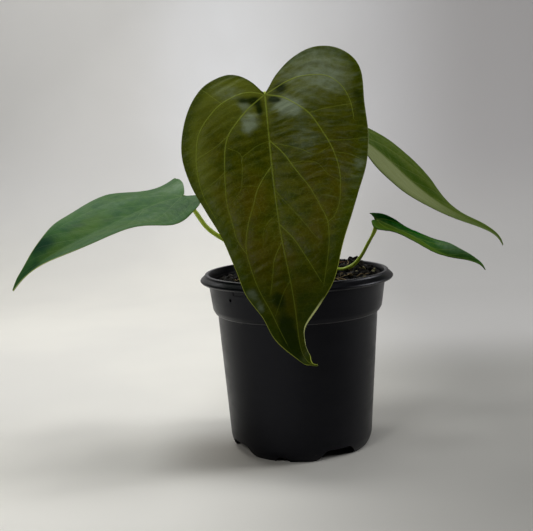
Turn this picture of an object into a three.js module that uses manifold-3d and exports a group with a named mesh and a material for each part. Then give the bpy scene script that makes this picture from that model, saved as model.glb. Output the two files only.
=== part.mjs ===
// A young heart-leaved anthurium in a round black nursery pot.
// Millimetres, +Z up. The origin is the centre of the pot's base, on the surface that the pot stands on.
// The plant's largest leaf hangs over the front of the rim, towards -Y.

import * as THREE from 'three';
import { mergeVertices } from 'three/addons/utils/BufferGeometryUtils.js';
import Module from 'manifold-3d';

const wasm = await Module();
wasm.setup();

// Clearance between pieces that touch on the real plant
const GAP = 0.3;

// Pot: a round moulded pot with a drained foot, a stepped collar and a rolled lip
const POT_HEIGHT = 104;
const POT_SIDES = 44;
const WALL = 1.4;
const FOOT_RADIUS = 40.3;
const HEEL_RADIUS = 42.6;
const HEEL_HEIGHT = 8.6;
const STEP_RADIUS = 47.6;
const STEP_HEIGHT = 80;
const COLLAR_RADIUS = 50.3;
const COLLAR_HEIGHT = 83;
const COLLAR_TOP_RADIUS = 52.4;
const LIP_HEIGHT = 98.9;
const LIP_RADIUS = 57.2;
const MOUTH_RADIUS = 51.5;
const FLOOR_HEIGHT = 6;
const PAD_RADIUS = 14;

// Drainage arches in the foot: their middle directions and half-widths, on the ground and at the top,
// in degrees; depth is how far each cuts inwards and outwards in all, ease the softness of its flanks
const WIDE_ARCHES = { first: 30, half: 22, topHalf: 9, height: 6.2 };
const NARROW_ARCHES = { first: -16, half: 7, topHalf: 2.5, height: 2.8 };
const ARCH_PITCH = 90;
const ARCH_DEPTH = 14;
const ARCH_EASE = 0.45;
const FLOOR_HOLES = { count: 8, radius: 3.5, ring: 27 };
const COLLAR_HOLES = { first: -136, pitch: 180, count: 2, radius: 0.9, height: 93 };

// Soil: how high it lies under the rim, how it tilts, and its lumps and crumbs
const SOIL_LEVEL = 99;
const SOIL_TILT = [0.042, 0.03];
const SOIL_RADIUS = 50.3;
const SOIL_SHOULDER = 94.4;
const SOIL_CLEARANCE = 0.5;
const SOIL_SIDES = 40;
const SOIL_RINGS = 11;
const SOIL_MOUNDS = [
  { at: [34, 18], height: 5, spread: 9 },
  { at: [4, 4], height: 2.2, spread: 13 },
  { at: [-22, -30], height: 1.4, spread: 12 },
];
const CRUMB_COUNT = 46;
const CRUMB_REACH = 46.9;
const PEAT_LUMPS = [[37.5, 20, 3], [34, 21, 2.6], [40.5, 16, 2.2], [31, 23, 2.4], [42, 11, 1.8]];

// Crown: the short stem that the leaf stalks grow from
const CROWN_AT = [3, 4];
const CROWN_PROFILE = [[5.2, 80], [6.1, 88], [6.5, 96], [6.2, 100.5], [6.5, 101.5], [5.6, 105], [3.6, 107]];

// Blades: stations along the midrib, as shares of its length from the stalk (0) to the tip (1).
// heading is the midrib's compass direction and slope its rise, in degrees at the stations.
// faces is the way that the upper face looks where no half is raised, up unless stated otherwise.
// liftRight and liftLeft raise each half from there; bendRight and bendLeft curve it, in 1/mm.
const STATIONS = [-0.2, 0, 0.25, 0.5, 0.75, 0.9, 1];
const BLADE_THICKNESS = 0.8;
const RIB_HEIGHT = 0.9;
const RIB_WIDTH = 1.6;
const PLEAT_HEIGHT = 0.55;

// Below this half-width a blade's rib and pleats fade out, towards its tip
const RELIEF_FADE = 12;
// Half-width of the rounded fold along the midrib
const FOLD_RADIUS = 3;
// Rows of a blade crowd towards the stalk, and columns towards the midrib
const ROW_CROWDING = 1.8;
const COLUMN_CROWDING = 1.4;
// Where the midrib stops short of the tip, so that the last row keeps some length
const RIB_END = 0.996;

// Half outline of a heart-shaped blade: share of the length, share of the half-width
const HEART = [
  [-0.01, 0.03], [-0.09, 0.1], [-0.17, 0.28], [-0.21, 0.52], [-0.16, 0.78], [-0.02, 0.96], [0.14, 1],
  [0.3, 0.93], [0.47, 0.75], [0.63, 0.52], [0.77, 0.29], [0.88, 0.13], [0.95, 0.068], [1, 0.018],
];

// The big front blade has lobes of its own: distance along the midrib, distance from it
const FRONT_RIGHT = [
  [-2, 1.5], [-8, 6], [-13.5, 13], [-15, 21], [-10, 32], [1, 40.5], [15, 46], [30, 48], [46, 44.6], [61, 38],
  [76, 31.2], [92, 27], [108, 24], [121, 17.5], [132.7, 12.8], [142.7, 4.5], [147.6, 2.2], [150.2, 0.8],
  [154.2, 0.4],
];
const FRONT_LEFT = [
  [-2, 1.2], [-10, 8], [-16, 18], [-18, 31], [-14, 44.5], [-5, 52.6], [12, 52.5], [30, 52.5], [46, 49.5],
  [61, 43.5], [78, 36.5], [93, 29.5], [107, 22.5], [118, 13.5], [128.6, 4.3], [137, 2.9], [146.1, 3],
  [150.6, 0.6], [154.2, 0.4],
];

const heart = (length, halfWidth, lobe) =>
  HEART.map(([u, v]) => [u * length * (u < 0 ? lobe : 1), v * halfWidth]);

const LEAVES = {
  front: {
    junction: [-13.7, -30, 204.7],
    length: 154.2,
    right: FRONT_RIGHT,
    left: FRONT_LEFT,
    heading: [-66, -72, -75, -75, -41, -46, -37],
    slope: [-48, -72, -73, -62, -81, -73, 10],
    faces: [0, -1, 0],
    liftRight: [10, 8, 6, 4, 4, 6, 8],
    liftLeft: [10, 8, 6, 4, 4, 6, 8],
    bendRight: -0.0024,
    bendLeft: -0.0024,
    rows: 28,
    columns: 7,
    stalk: [[3, 2.5, 108.6], [1, 7, 130], [-4, 10, 158], [-8, 6, 183], [-11.5, -6, 198], [-13.3, -19, 203.6]],
    stalkRadius: [2.3, 1.9],
    colour: 0x4a5214,
  },
  left: {
    junction: [-63.6, -14, 150.6],
    length: 112.5,
    right: heart(112.5, 39, 0.17),
    left: heart(112.5, 39, 0.36),
    heading: [183, 198, 219, 228, 216, 210, 206],
    slope: [-7, -11, -18, -17, -24, -41, -54],
    liftRight: [75, 18, 20, 21, 40, 41, 41],
    liftLeft: [4, -4, -6, 7, 1, 6, 11],
    bendRight: -0.0056,
    bendLeft: -0.0023,
    rows: 21,
    columns: 6,
    stalk: [[-4.2, 2.4, 104.4], [-14, 1, 109], [-30, -1, 117.4], [-45.2, -2.5, 126.1], [-51.6, -6, 132],
      [-56.6, -10, 140.4], [-60, -12.4, 146]],
    stalkRadius: [1.7, 1.35],
    colour: 0x3c6a44,
  },
  back: {
    junction: [41.3, 30, 180.9],
    length: 120,
    right: heart(120, 38.4, 1),
    left: heart(120, 38.4, 1),
    heading: [23, 17, 12, 12, 9, 5, 0],
    slope: [-18, -30, -44, -37, -28, -35, -70],
    liftRight: [-3, -22, -24, -19, -13, -11, -10],
    liftLeft: [25, 23, 29, 32, 15, 29, 42],
    bendRight: -0.0006,
    bendLeft: 0.0002,
    rows: 22,
    columns: 6,
    stalk: [[5.2, 7, 107.5], [13, 12.5, 130], [23, 19, 154], [32, 24.5, 171], [37.5, 27.8, 177.4]],
    stalkRadius: [1.9, 1.45],
    colour: 0x2f4a1c,
  },
  small: {
    junction: [48.9, 6, 131.5],
    length: 71,
    right: heart(71, 18.5, 0.2),
    left: heart(71, 18.5, 0.3),
    heading: [20, -8, -24, -8, -9, -2, 7],
    slope: [-40, -27, -24, -35, -10, -26, -62],
    liftRight: [12, -12, 2, -4, 8, 1, 10],
    liftLeft: [-8, 27, 16, 33, 73, 70, 42],
    bendRight: 0.0083,
    bendLeft: -0.0378,
    rows: 18,
    columns: 5,
    stalk: [[10.2, 3.6, 104.8], [17, 3.1, 103.9], [23, 3.1, 103.1], [27.5, 3.2, 102.7], [31, 3.4, 103.7],
      [34, 3.7, 105.1], [36.8, 4, 107.6], [39.7, 4.4, 111.2], [43.4, 4.9, 117.6], [48, 6.1, 126]],
    stalkRadius: [1.5, 1.05],
    colour: 0x1d4f16,
  },
};

// Stalks: round tapering bars, swollen at the joint with the blade, that stop just under it
const STALK_SIDES = 9;
const STALK_STEPS = 20;
const STALK_STOP = 1.1;
const STALK_TAPER_SHARE = 0.62;
const JOINT = { share: 0.97, spread: 0.05, swell: 0.28 };

// Sheaths: the dry papery scale leaves round the crown, each a narrow blade that hugs a stalk
const SHEATH_OUTLINE = [
  [-0.02, 0.55], [0.15, 0.85], [0.35, 1], [0.55, 0.85], [0.75, 0.55], [0.9, 0.28], [1, 0.1],
];
const SHEATH_LIFT = 22;
const SHEATH_BEND = 0.05;
const SHEATH_THICKNESS = 0.7;
const SHEATHS = {
  front: { at: [0.6, -4.6, 102.4], length: 24, halfWidth: 3.6, heading: -80, slope: [62, 78] },
  back: { at: [4.5, 12.6, 102.4], length: 30, halfWidth: 4, heading: 75, slope: [58, 80] },
  right: { at: [13, -1.6, 102.6], length: 19, halfWidth: 3, heading: -28, slope: [28, 12] },
};

// Finishes
const finish = (color, roughness) => new THREE.MeshStandardMaterial({ color, roughness, metalness: 0 });
const BLACK_PLASTIC = finish(0x141416, 0.42);
const PEAT = finish(0x17120d, 0.95);
const STALK_GREEN = finish(0x6a8214, 0.5);
const CROWN_GREEN = finish(0x55631f, 0.6);
const DRY_SHEATH = finish(0x7a4a2a, 0.75);

const radians = THREE.MathUtils.degToRad;

// A random number generator with a fixed start, so that the crumbs always fall alike
function seeded(start) {
  let state = start;
  return () => {
    state = (state * 1664525 + 1013904223) % 4294967296;
    return state / 4294967296;
  };
}

// Joining and cutting of closed shapes
function solidOf(geometry) {
  const bare = geometry.index ? geometry.toNonIndexed() : geometry.clone();
  bare.deleteAttribute('normal');
  bare.deleteAttribute('uv');
  const merged = mergeVertices(bare, 1e-3);
  const corners = merged.index.array;
  const kept = [];
  for (let i = 0; i < corners.length; i += 3) {
    const [a, b, c] = [corners[i], corners[i + 1], corners[i + 2]];
    if (a !== b && b !== c && c !== a) kept.push(a, b, c);
  }
  const vertProperties = new Float32Array(merged.attributes.position.array);
  return new wasm.Manifold(new wasm.Mesh({ numProp: 3, vertProperties, triVerts: new Uint32Array(kept) }));
}

function geometryOf(solid) {
  const mesh = solid.getMesh();
  const geometry = new THREE.BufferGeometry();
  geometry.setAttribute('position', new THREE.BufferAttribute(new Float32Array(mesh.vertProperties), 3));
  geometry.setIndex(new THREE.BufferAttribute(new Uint32Array(mesh.triVerts), 1));
  return geometry;
}

// The largest body of a cut shape: loose scraps are dropped
function largest(solid) {
  const bodies = solid.decompose();
  return bodies.reduce((best, body) => (body.volume() > best.volume() ? body : best));
}

// A turned shape: its profile of [radius, height] runs from the axis back to the axis
function turned(profile, sides) {
  const geometry = new THREE.LatheGeometry(profile.map(([r, z]) => new THREE.Vector2(r, z)), sides);
  return geometry.rotateX(Math.PI / 2);
}

// A round bar from the origin along +X, for drilling
function drill(radius, from, to, sides) {
  const bar = new THREE.CylinderGeometry(radius, radius, to - from, sides);
  return bar.rotateZ(-Math.PI / 2).translate((from + to) / 2, 0, 0);
}

// Pot

function potProfile() {
  const floorUnder = FLOOR_HEIGHT - WALL;
  return [
    [0, 0],
    [PAD_RADIUS, 0],
    [PAD_RADIUS + 2.4, floorUnder],
    [FOOT_RADIUS - 2.9, floorUnder],
    [FOOT_RADIUS - 2.5, 0],
    [FOOT_RADIUS, 0],
    [FOOT_RADIUS + 1.4, 2.6],
    [HEEL_RADIUS - 0.2, 5.8],
    [HEEL_RADIUS, HEEL_HEIGHT],
    [STEP_RADIUS, STEP_HEIGHT],
    [STEP_RADIUS + 0.9, STEP_HEIGHT + 0.6],
    [COLLAR_RADIUS - 0.3, COLLAR_HEIGHT - 0.8],
    [COLLAR_RADIUS, COLLAR_HEIGHT],
    [COLLAR_TOP_RADIUS, LIP_HEIGHT],
    [LIP_RADIUS - 0.9, LIP_HEIGHT + 0.1],
    [LIP_RADIUS, LIP_HEIGHT + 1],
    [LIP_RADIUS - 0.4, LIP_HEIGHT + 1.9],
    [LIP_RADIUS - 2.6, POT_HEIGHT - 0.7],
    [LIP_RADIUS - 3.4, POT_HEIGHT],
    [MOUTH_RADIUS + 1, POT_HEIGHT],
    [MOUTH_RADIUS + 0.3, POT_HEIGHT - 0.7],
    [MOUTH_RADIUS, POT_HEIGHT - 2.4],
    [COLLAR_RADIUS - WALL, COLLAR_HEIGHT + 0.4],
    [STEP_RADIUS - WALL, STEP_HEIGHT + 0.3],
    [HEEL_RADIUS - WALL, HEEL_HEIGHT],
    [HEEL_RADIUS - WALL - 1.8, FLOOR_HEIGHT],
    [PAD_RADIUS + 1.2, FLOOR_HEIGHT],
    [PAD_RADIUS - 0.9, WALL],
    [0, WALL],
  ];
}

// An arch through the foot, pointing along +X, whose flanks ease into the ground and into its flat top
function archCutter({ half, topHalf, height }) {
  const [wide, narrow] = [half, topHalf].map((angle) => FOOT_RADIUS * Math.sin(radians(angle)));
  const ease = ARCH_EASE * (wide - narrow);
  const underground = -1;
  const shape = new THREE.Shape();
  shape.moveTo(-wide, underground);
  shape.lineTo(wide, underground);
  shape.lineTo(wide, 0);
  shape.bezierCurveTo(wide - ease, 0, narrow + ease, height, narrow, height);
  shape.lineTo(-narrow, height);
  shape.bezierCurveTo(-narrow - ease, height, ease - wide, 0, -wide, 0);
  shape.closePath();
  const sweep = { depth: ARCH_DEPTH, bevelEnabled: false, curveSegments: 4 };
  const cutter = new THREE.ExtrudeGeometry(shape, sweep);
  return cutter.rotateX(Math.PI / 2).rotateZ(Math.PI / 2).translate(FOOT_RADIUS - ARCH_DEPTH / 2, 0, 0);
}

function pot() {
  let body = solidOf(turned(potProfile(), POT_SIDES));
  for (const arches of [WIDE_ARCHES, NARROW_ARCHES]) {
    for (let i = 0; i < 4; i++) {
      const angle = radians(arches.first + i * ARCH_PITCH);
      body = body.subtract(solidOf(archCutter(arches).rotateZ(angle)));
    }
  }
  for (let i = 0; i < FLOOR_HOLES.count; i++) {
    const angle = radians((i * 360) / FLOOR_HOLES.count);
    const hole = drill(FLOOR_HOLES.radius, WALL, 2 * FLOOR_HEIGHT, 10).rotateY(-Math.PI / 2);
    hole.translate(FLOOR_HOLES.ring * Math.cos(angle), FLOOR_HOLES.ring * Math.sin(angle), 0);
    body = body.subtract(solidOf(hole));
  }
  for (let i = 0; i < COLLAR_HOLES.count; i++) {
    const hole = drill(COLLAR_HOLES.radius, COLLAR_RADIUS - 2 * WALL, COLLAR_RADIUS + 2 * WALL, 8);
    hole.translate(0, 0, COLLAR_HOLES.height).rotateZ(radians(COLLAR_HOLES.first + i * COLLAR_HOLES.pitch));
    body = body.subtract(solidOf(hole));
  }
  return geometryOf(body);
}

// Smooth value between the stations of a blade, at share w of its length
function atStation(values, w) {
  const last = STATIONS.length - 1;
  const x = THREE.MathUtils.clamp(w, STATIONS[0], STATIONS[last]);
  let i = 0;
  while (i < last - 1 && x > STATIONS[i + 1]) i++;
  const step = STATIONS[i + 1] - STATIONS[i];
  const f = (x - STATIONS[i]) / step;
  const tangent = (k) => {
    const [a, b] = [Math.max(k - 1, 0), Math.min(k + 1, last)];
    return (values[b] - values[a]) / (STATIONS[b] - STATIONS[a]);
  };
  return (1 + 2 * f) * (1 - f) ** 2 * values[i] + f * (1 - f) ** 2 * step * tangent(i)
    + f * f * (3 - 2 * f) * values[i + 1] + f * f * (f - 1) * step * tangent(i + 1);
}

// Point at share s of a smooth line through an outline's points
function alongOutline(points, s) {
  const q = s * (points.length - 1);
  const i = Math.min(Math.floor(q), points.length - 2);
  const f = q - i;
  const end = (a, b) => [2 * a[0] - b[0], 2 * a[1] - b[1]];
  const before = i > 0 ? points[i - 1] : end(points[0], points[1]);
  const after = i + 2 < points.length ? points[i + 2] : end(points[i + 1], points[i]);
  const mix = (a, b, c, d) => 0.5 * (2 * b + (c - a) * f + (2 * a - 5 * b + 4 * c - d) * f * f
    + (3 * b - a - 3 * c + d) * f ** 3);
  return [0, 1].map((k) => mix(before[k], points[i][k], points[i + 1][k], after[k]));
}

// The midrib of a blade in space, walked in short steps from the stalk both ways
class Midrib {
  constructor(leaf) {
    this.leaf = leaf;
    this.step = 1 / 200;
    this.points = new Map([[0, new THREE.Vector3(...leaf.junction)]]);
    this.walk(1, 1);
    this.walk(-1, 1.5 * Math.abs(STATIONS[0]));
  }

  direction(w) {
    const heading = radians(atStation(this.leaf.heading, w));
    const slope = radians(atStation(this.leaf.slope, w));
    const flat = Math.cos(slope);
    return new THREE.Vector3(flat * Math.cos(heading), flat * Math.sin(heading), Math.sin(slope));
  }

  walk(sign, reach) {
    const stride = sign * this.step;
    for (let k = 1; k <= Math.round(reach / this.step); k++) {
      const from = this.points.get(sign * (k - 1));
      const middle = this.direction((k - 0.5) * stride);
      this.points.set(sign * k, from.clone().addScaledVector(middle, stride * this.leaf.length));
    }
  }

  // Place, direction, side and normal at share w of the length
  frame(w) {
    const q = w / this.step;
    const k = Math.floor(q);
    const at = this.points.get(k).clone().lerp(this.points.get(k + 1) ?? this.points.get(k), q - k);
    const ahead = this.direction(w);
    const faces = new THREE.Vector3(...(this.leaf.faces ?? [0, 0, 1]));
    const side = ahead.clone().cross(faces).normalize();
    const normal = side.clone().cross(ahead);
    return { at, side, normal };
  }
}

// Where the blade's middle surface lies at u along and v across the midrib, and its normal there
function bladePoint(midrib, u, v) {
  const { leaf } = midrib;
  const w = u / leaf.length;
  const { at, side, normal } = midrib.frame(w);
  const [lifts, bend] = v >= 0 ? [leaf.liftRight, leaf.bendRight] : [leaf.liftLeft, leaf.bendLeft];
  const across = Math.abs(v);
  const lift = radians(atStation(lifts, w));
  const arc = 0.5 * bend * across * across;
  const outward = across * Math.cos(lift) - arc * Math.sin(lift);
  const upward = across * Math.sin(lift) + arc * Math.cos(lift);
  const point = at.addScaledVector(side, Math.sign(v) * outward).addScaledVector(normal, upward);
  const tilt = (lift + bend * across) * Math.min(1, across / FOLD_RADIUS);
  const facing = normal.clone().multiplyScalar(Math.cos(tilt));
  facing.addScaledVector(side, -Math.sign(v) * Math.sin(tilt));
  return { point, facing };
}

// A blade as one closed shell: a grid from lobe to tip, with ribs and pleats, split alike on both faces
function bladeGeometry(leaf, thickness) {
  const midrib = new Midrib(leaf);
  const { rows, columns, pleatHeight = PLEAT_HEIGHT } = leaf;
  const width = 2 * columns + 1;
  const upper = [];
  const lower = [];
  for (let i = 0; i <= rows; i++) {
    const s = i / rows;
    const middle = leaf.length * s ** ROW_CROWDING * RIB_END;
    const pleat = pleatHeight * Math.cos((Math.PI * i) / 2);
    for (let j = -columns; j <= columns; j++) {
      const t = (Math.abs(j) / columns) ** COLUMN_CROWDING;
      const [edgeU, edgeV] = alongOutline(j >= 0 ? leaf.right : leaf.left, s);
      const u = middle + (edgeU - middle) * t;
      const v = Math.sign(j) * edgeV * t;
      const { point, facing } = bladePoint(midrib, u, v);
      const ease = Math.min(1, edgeV / RELIEF_FADE);
      point.addScaledVector(facing, -pleat * ease * 4 * t * (1 - t));
      const rib = RIB_HEIGHT * (1 - s) * Math.exp(-((v / RIB_WIDTH) ** 2)) * ease;
      upper.push(point.clone().addScaledVector(facing, thickness / 2));
      lower.push(point.clone().addScaledVector(facing, -thickness / 2 - rib));
    }
  }
  const vertices = [...upper, ...lower].flatMap((p) => p.toArray());
  const below = upper.length;
  const faces = [];
  const quad = (a, b, c, d) => faces.push(a, b, c, a, c, d);
  for (let i = 0; i < rows; i++) {
    for (let j = 0; j < width - 1; j++) {
      const a = i * width + j;
      quad(a, a + 1, a + width + 1, a + width);
      const [p, q, r, t] = [a, a + 1, a + width + 1, a + width].map((k) => k + below);
      faces.push(p, r, q, p, t, r);
    }
    const [left, right] = [i * width, i * width + width - 1];
    quad(left, left + width, left + width + below, left + below);
    quad(right, right + below, right + width + below, right + width);
  }
  for (let j = 0; j < width - 1; j++) {
    const tip = rows * width + j;
    quad(j, j + below, j + 1 + below, j + 1);
    quad(tip, tip + 1, tip + 1 + below, tip + below);
  }
  const geometry = new THREE.BufferGeometry();
  geometry.setAttribute('position', new THREE.Float32BufferAttribute(vertices, 3));
  geometry.setIndex(faces);
  return geometry;
}

// A leaf stalk on a smooth curve, grown by a margin where it is used to cut its hole
function stalkGeometry(leaf, grow) {
  const { normal, at } = new Midrib(leaf).frame(0);
  const points = leaf.stalk.map((p) => new THREE.Vector3(...p));
  points.push(at.addScaledVector(normal, -STALK_STOP));
  const curve = new THREE.CatmullRomCurve3(points, false, 'centripetal');
  const frames = curve.computeFrenetFrames(STALK_STEPS, false);
  const [bottom, top] = leaf.stalkRadius;
  const vertices = [];
  for (let i = 0; i <= STALK_STEPS; i++) {
    const s = i / STALK_STEPS;
    const swell = 1 + JOINT.swell * Math.exp(-(((s - JOINT.share) / JOINT.spread) ** 2));
    const radius = (bottom + (top - bottom) * Math.min(1, s / STALK_TAPER_SHARE)) * swell + grow;
    const centre = curve.getPointAt(s);
    for (let j = 0; j < STALK_SIDES; j++) {
      const angle = (2 * Math.PI * j) / STALK_SIDES;
      const p = centre.clone().addScaledVector(frames.normals[i], radius * Math.cos(angle));
      vertices.push(...p.addScaledVector(frames.binormals[i], radius * Math.sin(angle)).toArray());
    }
  }
  const faces = [];
  for (let i = 0; i < STALK_STEPS; i++) {
    for (let j = 0; j < STALK_SIDES; j++) {
      const next = (j + 1) % STALK_SIDES;
      const [a, b] = [i * STALK_SIDES + j, i * STALK_SIDES + next];
      faces.push(a, b, b + STALK_SIDES, a, b + STALK_SIDES, a + STALK_SIDES);
    }
  }
  const last = STALK_STEPS * STALK_SIDES;
  for (let j = 1; j < STALK_SIDES - 1; j++) {
    faces.push(0, j + 1, j, last, last + j, last + j + 1);
  }
  const geometry = new THREE.BufferGeometry();
  geometry.setAttribute('position', new THREE.Float32BufferAttribute(vertices, 3));
  geometry.setIndex(faces);
  return geometry;
}

// The crown, grown by a margin where it is used to cut its hole
function crownGeometry(grow) {
  const bottom = CROWN_PROFILE[0][1];
  const top = CROWN_PROFILE[CROWN_PROFILE.length - 1][1];
  const profile = CROWN_PROFILE.map(([r, z]) => [r + grow, z]);
  const capped = [[0, bottom - grow], ...profile, [0, top + 0.6 + grow]];
  return turned(capped, 14).translate(CROWN_AT[0], CROWN_AT[1], 0);
}

// Soil

function soilHeight(x, y) {
  let height = SOIL_LEVEL + SOIL_TILT[0] * x + SOIL_TILT[1] * y;
  for (const mound of SOIL_MOUNDS) {
    const away = Math.hypot(x - mound.at[0], y - mound.at[1]) / mound.spread;
    height += mound.height * Math.exp(-away * away);
  }
  height += 0.5 * Math.sin(0.61 * x + 0.9) * Math.sin(0.53 * y - 0.4);
  return height + 0.45 * Math.sin(1.13 * x - 0.7 * y) * Math.cos(0.87 * y + 0.31 * x);
}

function soilBody() {
  const inside = WALL + SOIL_CLEARANCE;
  const profile = [
    [0, WALL + GAP],
    [PAD_RADIUS - 1.3, WALL + GAP],
    [PAD_RADIUS + 0.8, FLOOR_HEIGHT + GAP],
    [HEEL_RADIUS - inside - 1.9, FLOOR_HEIGHT + GAP],
    [HEEL_RADIUS - inside, HEEL_HEIGHT + 0.3],
    [STEP_RADIUS - inside, STEP_HEIGHT + 0.2],
    [COLLAR_RADIUS - inside, COLLAR_HEIGHT + 1],
    [SOIL_RADIUS, SOIL_SHOULDER],
  ];
  for (let i = 0; i < SOIL_RINGS; i++) profile.push([SOIL_RADIUS * (1 - i / SOIL_RINGS), SOIL_LEVEL]);
  profile.push([0, SOIL_LEVEL]);
  const geometry = turned(profile, SOIL_SIDES);
  const place = geometry.attributes.position;
  for (let i = 0; i < place.count; i++) {
    if (Math.abs(place.getZ(i) - SOIL_LEVEL) > 0.01) continue;
    place.setZ(i, soilHeight(place.getX(i), place.getY(i)));
  }
  return geometry;
}

// An uneven crumb, sunk almost to its middle in the surface
function crumb(random, x, y, size) {
  const lump = new THREE.IcosahedronGeometry(size, 0);
  lump.scale(0.8 + 0.5 * random(), 0.8 + 0.4 * random(), 0.65 + 0.4 * random());
  lump.rotateX(3 * random()).rotateZ(6 * random());
  return lump.translate(x, y, soilHeight(x, y) + 0.15 * size);
}

function soil() {
  const random = seeded(20);
  let body = solidOf(soilBody());
  const crumbs = [];
  for (const [x, y, size] of PEAT_LUMPS) crumbs.push(crumb(random, x, y, size));
  for (let i = 0; i < CRUMB_COUNT; i++) {
    const away = CRUMB_REACH * Math.sqrt(random());
    const angle = 2 * Math.PI * random();
    crumbs.push(crumb(random, away * Math.cos(angle), away * Math.sin(angle), 1 + 1.5 * random() ** 2));
  }
  for (const lump of crumbs) body = body.add(solidOf(lump));
  body = body.subtract(solidOf(crownGeometry(GAP)));
  for (const leaf of Object.values(LEAVES)) body = body.subtract(solidOf(stalkGeometry(leaf, GAP)));
  for (const sheath of Object.values(SHEATHS)) {
    body = body.subtract(solidOf(bladeGeometry(sheathBlade(sheath), SHEATH_THICKNESS + 2 * GAP)));
  }
  return geometryOf(largest(body));
}

// A sheath is a narrow blade without lobes, rolled round the stalk that it wraps
function sheathBlade({ at, length, halfWidth, heading, slope }) {
  const outline = SHEATH_OUTLINE.map(([u, v]) => [u * length, v * halfWidth]);
  const lifts = STATIONS.map(() => SHEATH_LIFT);
  return {
    junction: at,
    length,
    right: outline,
    left: outline,
    heading: STATIONS.map(() => heading),
    slope: STATIONS.map((w) => slope[0] + (slope[1] - slope[0]) * Math.max(0, w)),
    liftRight: lifts,
    liftLeft: lifts,
    bendRight: SHEATH_BEND,
    bendLeft: SHEATH_BEND,
    rows: 8,
    columns: 2,
    pleatHeight: 0,
  };
}

// Assembly

const plant = new THREE.Group();

function place(name, geometry, material) {
  const mesh = new THREE.Mesh(geometry, material);
  mesh.name = name;
  plant.add(mesh);
}

place('pot', pot(), BLACK_PLASTIC);
place('soil', soil(), PEAT);

for (const [name, leaf] of Object.entries(LEAVES)) {
  const blade = bladeGeometry(leaf, BLADE_THICKNESS);
  const keptClear = solidOf(bladeGeometry(leaf, BLADE_THICKNESS + 2 * GAP)).add(solidOf(crownGeometry(GAP)));
  const stalk = largest(solidOf(stalkGeometry(leaf, 0)).subtract(keptClear));
  place(`blade_${name}`, blade, finish(leaf.colour, 0.45));
  place(`petiole_${name}`, geometryOf(stalk), STALK_GREEN);
}
place('crown', geometryOf(solidOf(crownGeometry(0))), CROWN_GREEN);
for (const [name, sheath] of Object.entries(SHEATHS)) {
  place(`sheath_${name}`, bladeGeometry(sheathBlade(sheath), SHEATH_THICKNESS), DRY_SHEATH);
}

export default plant;
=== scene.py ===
# %% [markdown]
# # A young heart-leaved anthurium in its nursery pot
#
# The plant has four blades on thin stalks, a short crown, and a black moulded pot of peaty mix.
# The frame holds every piece at its true place and size, so each cell below only makes the
# fine surface of one piece, and its finish, where the frame says that it is.
# We begin with the frame itself.

# %% Load the frame
import math
import bpy
import numpy as np
from mathutils import Matrix, Vector, noise


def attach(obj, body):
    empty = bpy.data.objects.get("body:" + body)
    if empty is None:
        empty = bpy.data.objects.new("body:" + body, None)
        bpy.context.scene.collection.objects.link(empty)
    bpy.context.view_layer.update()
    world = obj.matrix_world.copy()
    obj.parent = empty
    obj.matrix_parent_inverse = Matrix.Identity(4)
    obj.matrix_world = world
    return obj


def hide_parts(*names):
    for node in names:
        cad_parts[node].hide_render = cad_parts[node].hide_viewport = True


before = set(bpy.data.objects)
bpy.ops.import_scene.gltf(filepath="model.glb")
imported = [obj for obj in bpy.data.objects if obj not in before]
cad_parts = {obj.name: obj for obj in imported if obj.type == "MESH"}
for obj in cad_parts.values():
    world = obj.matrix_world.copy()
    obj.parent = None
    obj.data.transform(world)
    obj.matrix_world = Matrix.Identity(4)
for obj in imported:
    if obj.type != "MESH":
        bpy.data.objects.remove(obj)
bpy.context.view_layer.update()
bpy.ops.object.select_all(action="DESELECT")
MM = 0.001
print("nodes:", sorted(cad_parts))

# %% [markdown]
# ## The camera
#
# A camera can be placed by eye, or worked out from things of known shape in the picture.
# The pot's lip, collar and foot are true circles, so the tilt of their ellipses gives the
# camera's height and pitch. It stands a little above the rim, looks slightly down, and leans
# about two degrees, which is why the pot seems to tip in the picture.

# %% Camera
IMAGE_WIDTH = 533
FOCAL_PIXELS = 809.9
CAMERA_AT = Vector((0, -478.4, 170.3)) * MM
CAMERA_YAW, CAMERA_PITCH, CAMERA_ROLL = (math.radians(a) for a in (-2.101, 7.506, -2.259))


def camera_axes():
    ahead = Vector((math.sin(CAMERA_YAW) * math.cos(CAMERA_PITCH),
                    math.cos(CAMERA_YAW) * math.cos(CAMERA_PITCH), -math.sin(CAMERA_PITCH)))
    right = ahead.cross(Vector((0, 0, 1))).normalized()
    up = right.cross(ahead)
    turn, lean = math.cos(CAMERA_ROLL), math.sin(CAMERA_ROLL)
    return turn * right + lean * up, turn * up - lean * right, -ahead


camera_data = bpy.data.cameras.new("camera")
camera_data.sensor_width = 36
camera_data.lens = FOCAL_PIXELS / IMAGE_WIDTH * camera_data.sensor_width
camera_data.clip_start = 0.01
camera = bpy.data.objects.new("camera", camera_data)
bpy.context.scene.collection.objects.link(camera)
camera.matrix_world = Matrix.Translation(CAMERA_AT) @ Matrix(camera_axes()).transposed().to_4x4()
bpy.context.scene.camera = camera
print("lens:", round(camera_data.lens, 1), "mm")

# %% [markdown]
# ## Writing shader maths as Python
#
# A procedural finish is a chain of small sums: how far is this point from a vein, how strong is
# the noise here, how much of each colour. Placing each Math node by hand is slow to read.
# A small class wraps a node's output, so that `1 - mask * 0.5` adds the Math nodes itself.
# One method, `add`, makes every other kind of node from its settings and its sockets' values.
# Another, `layered`, lays one colour over the next, as a painter glazes.

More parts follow.
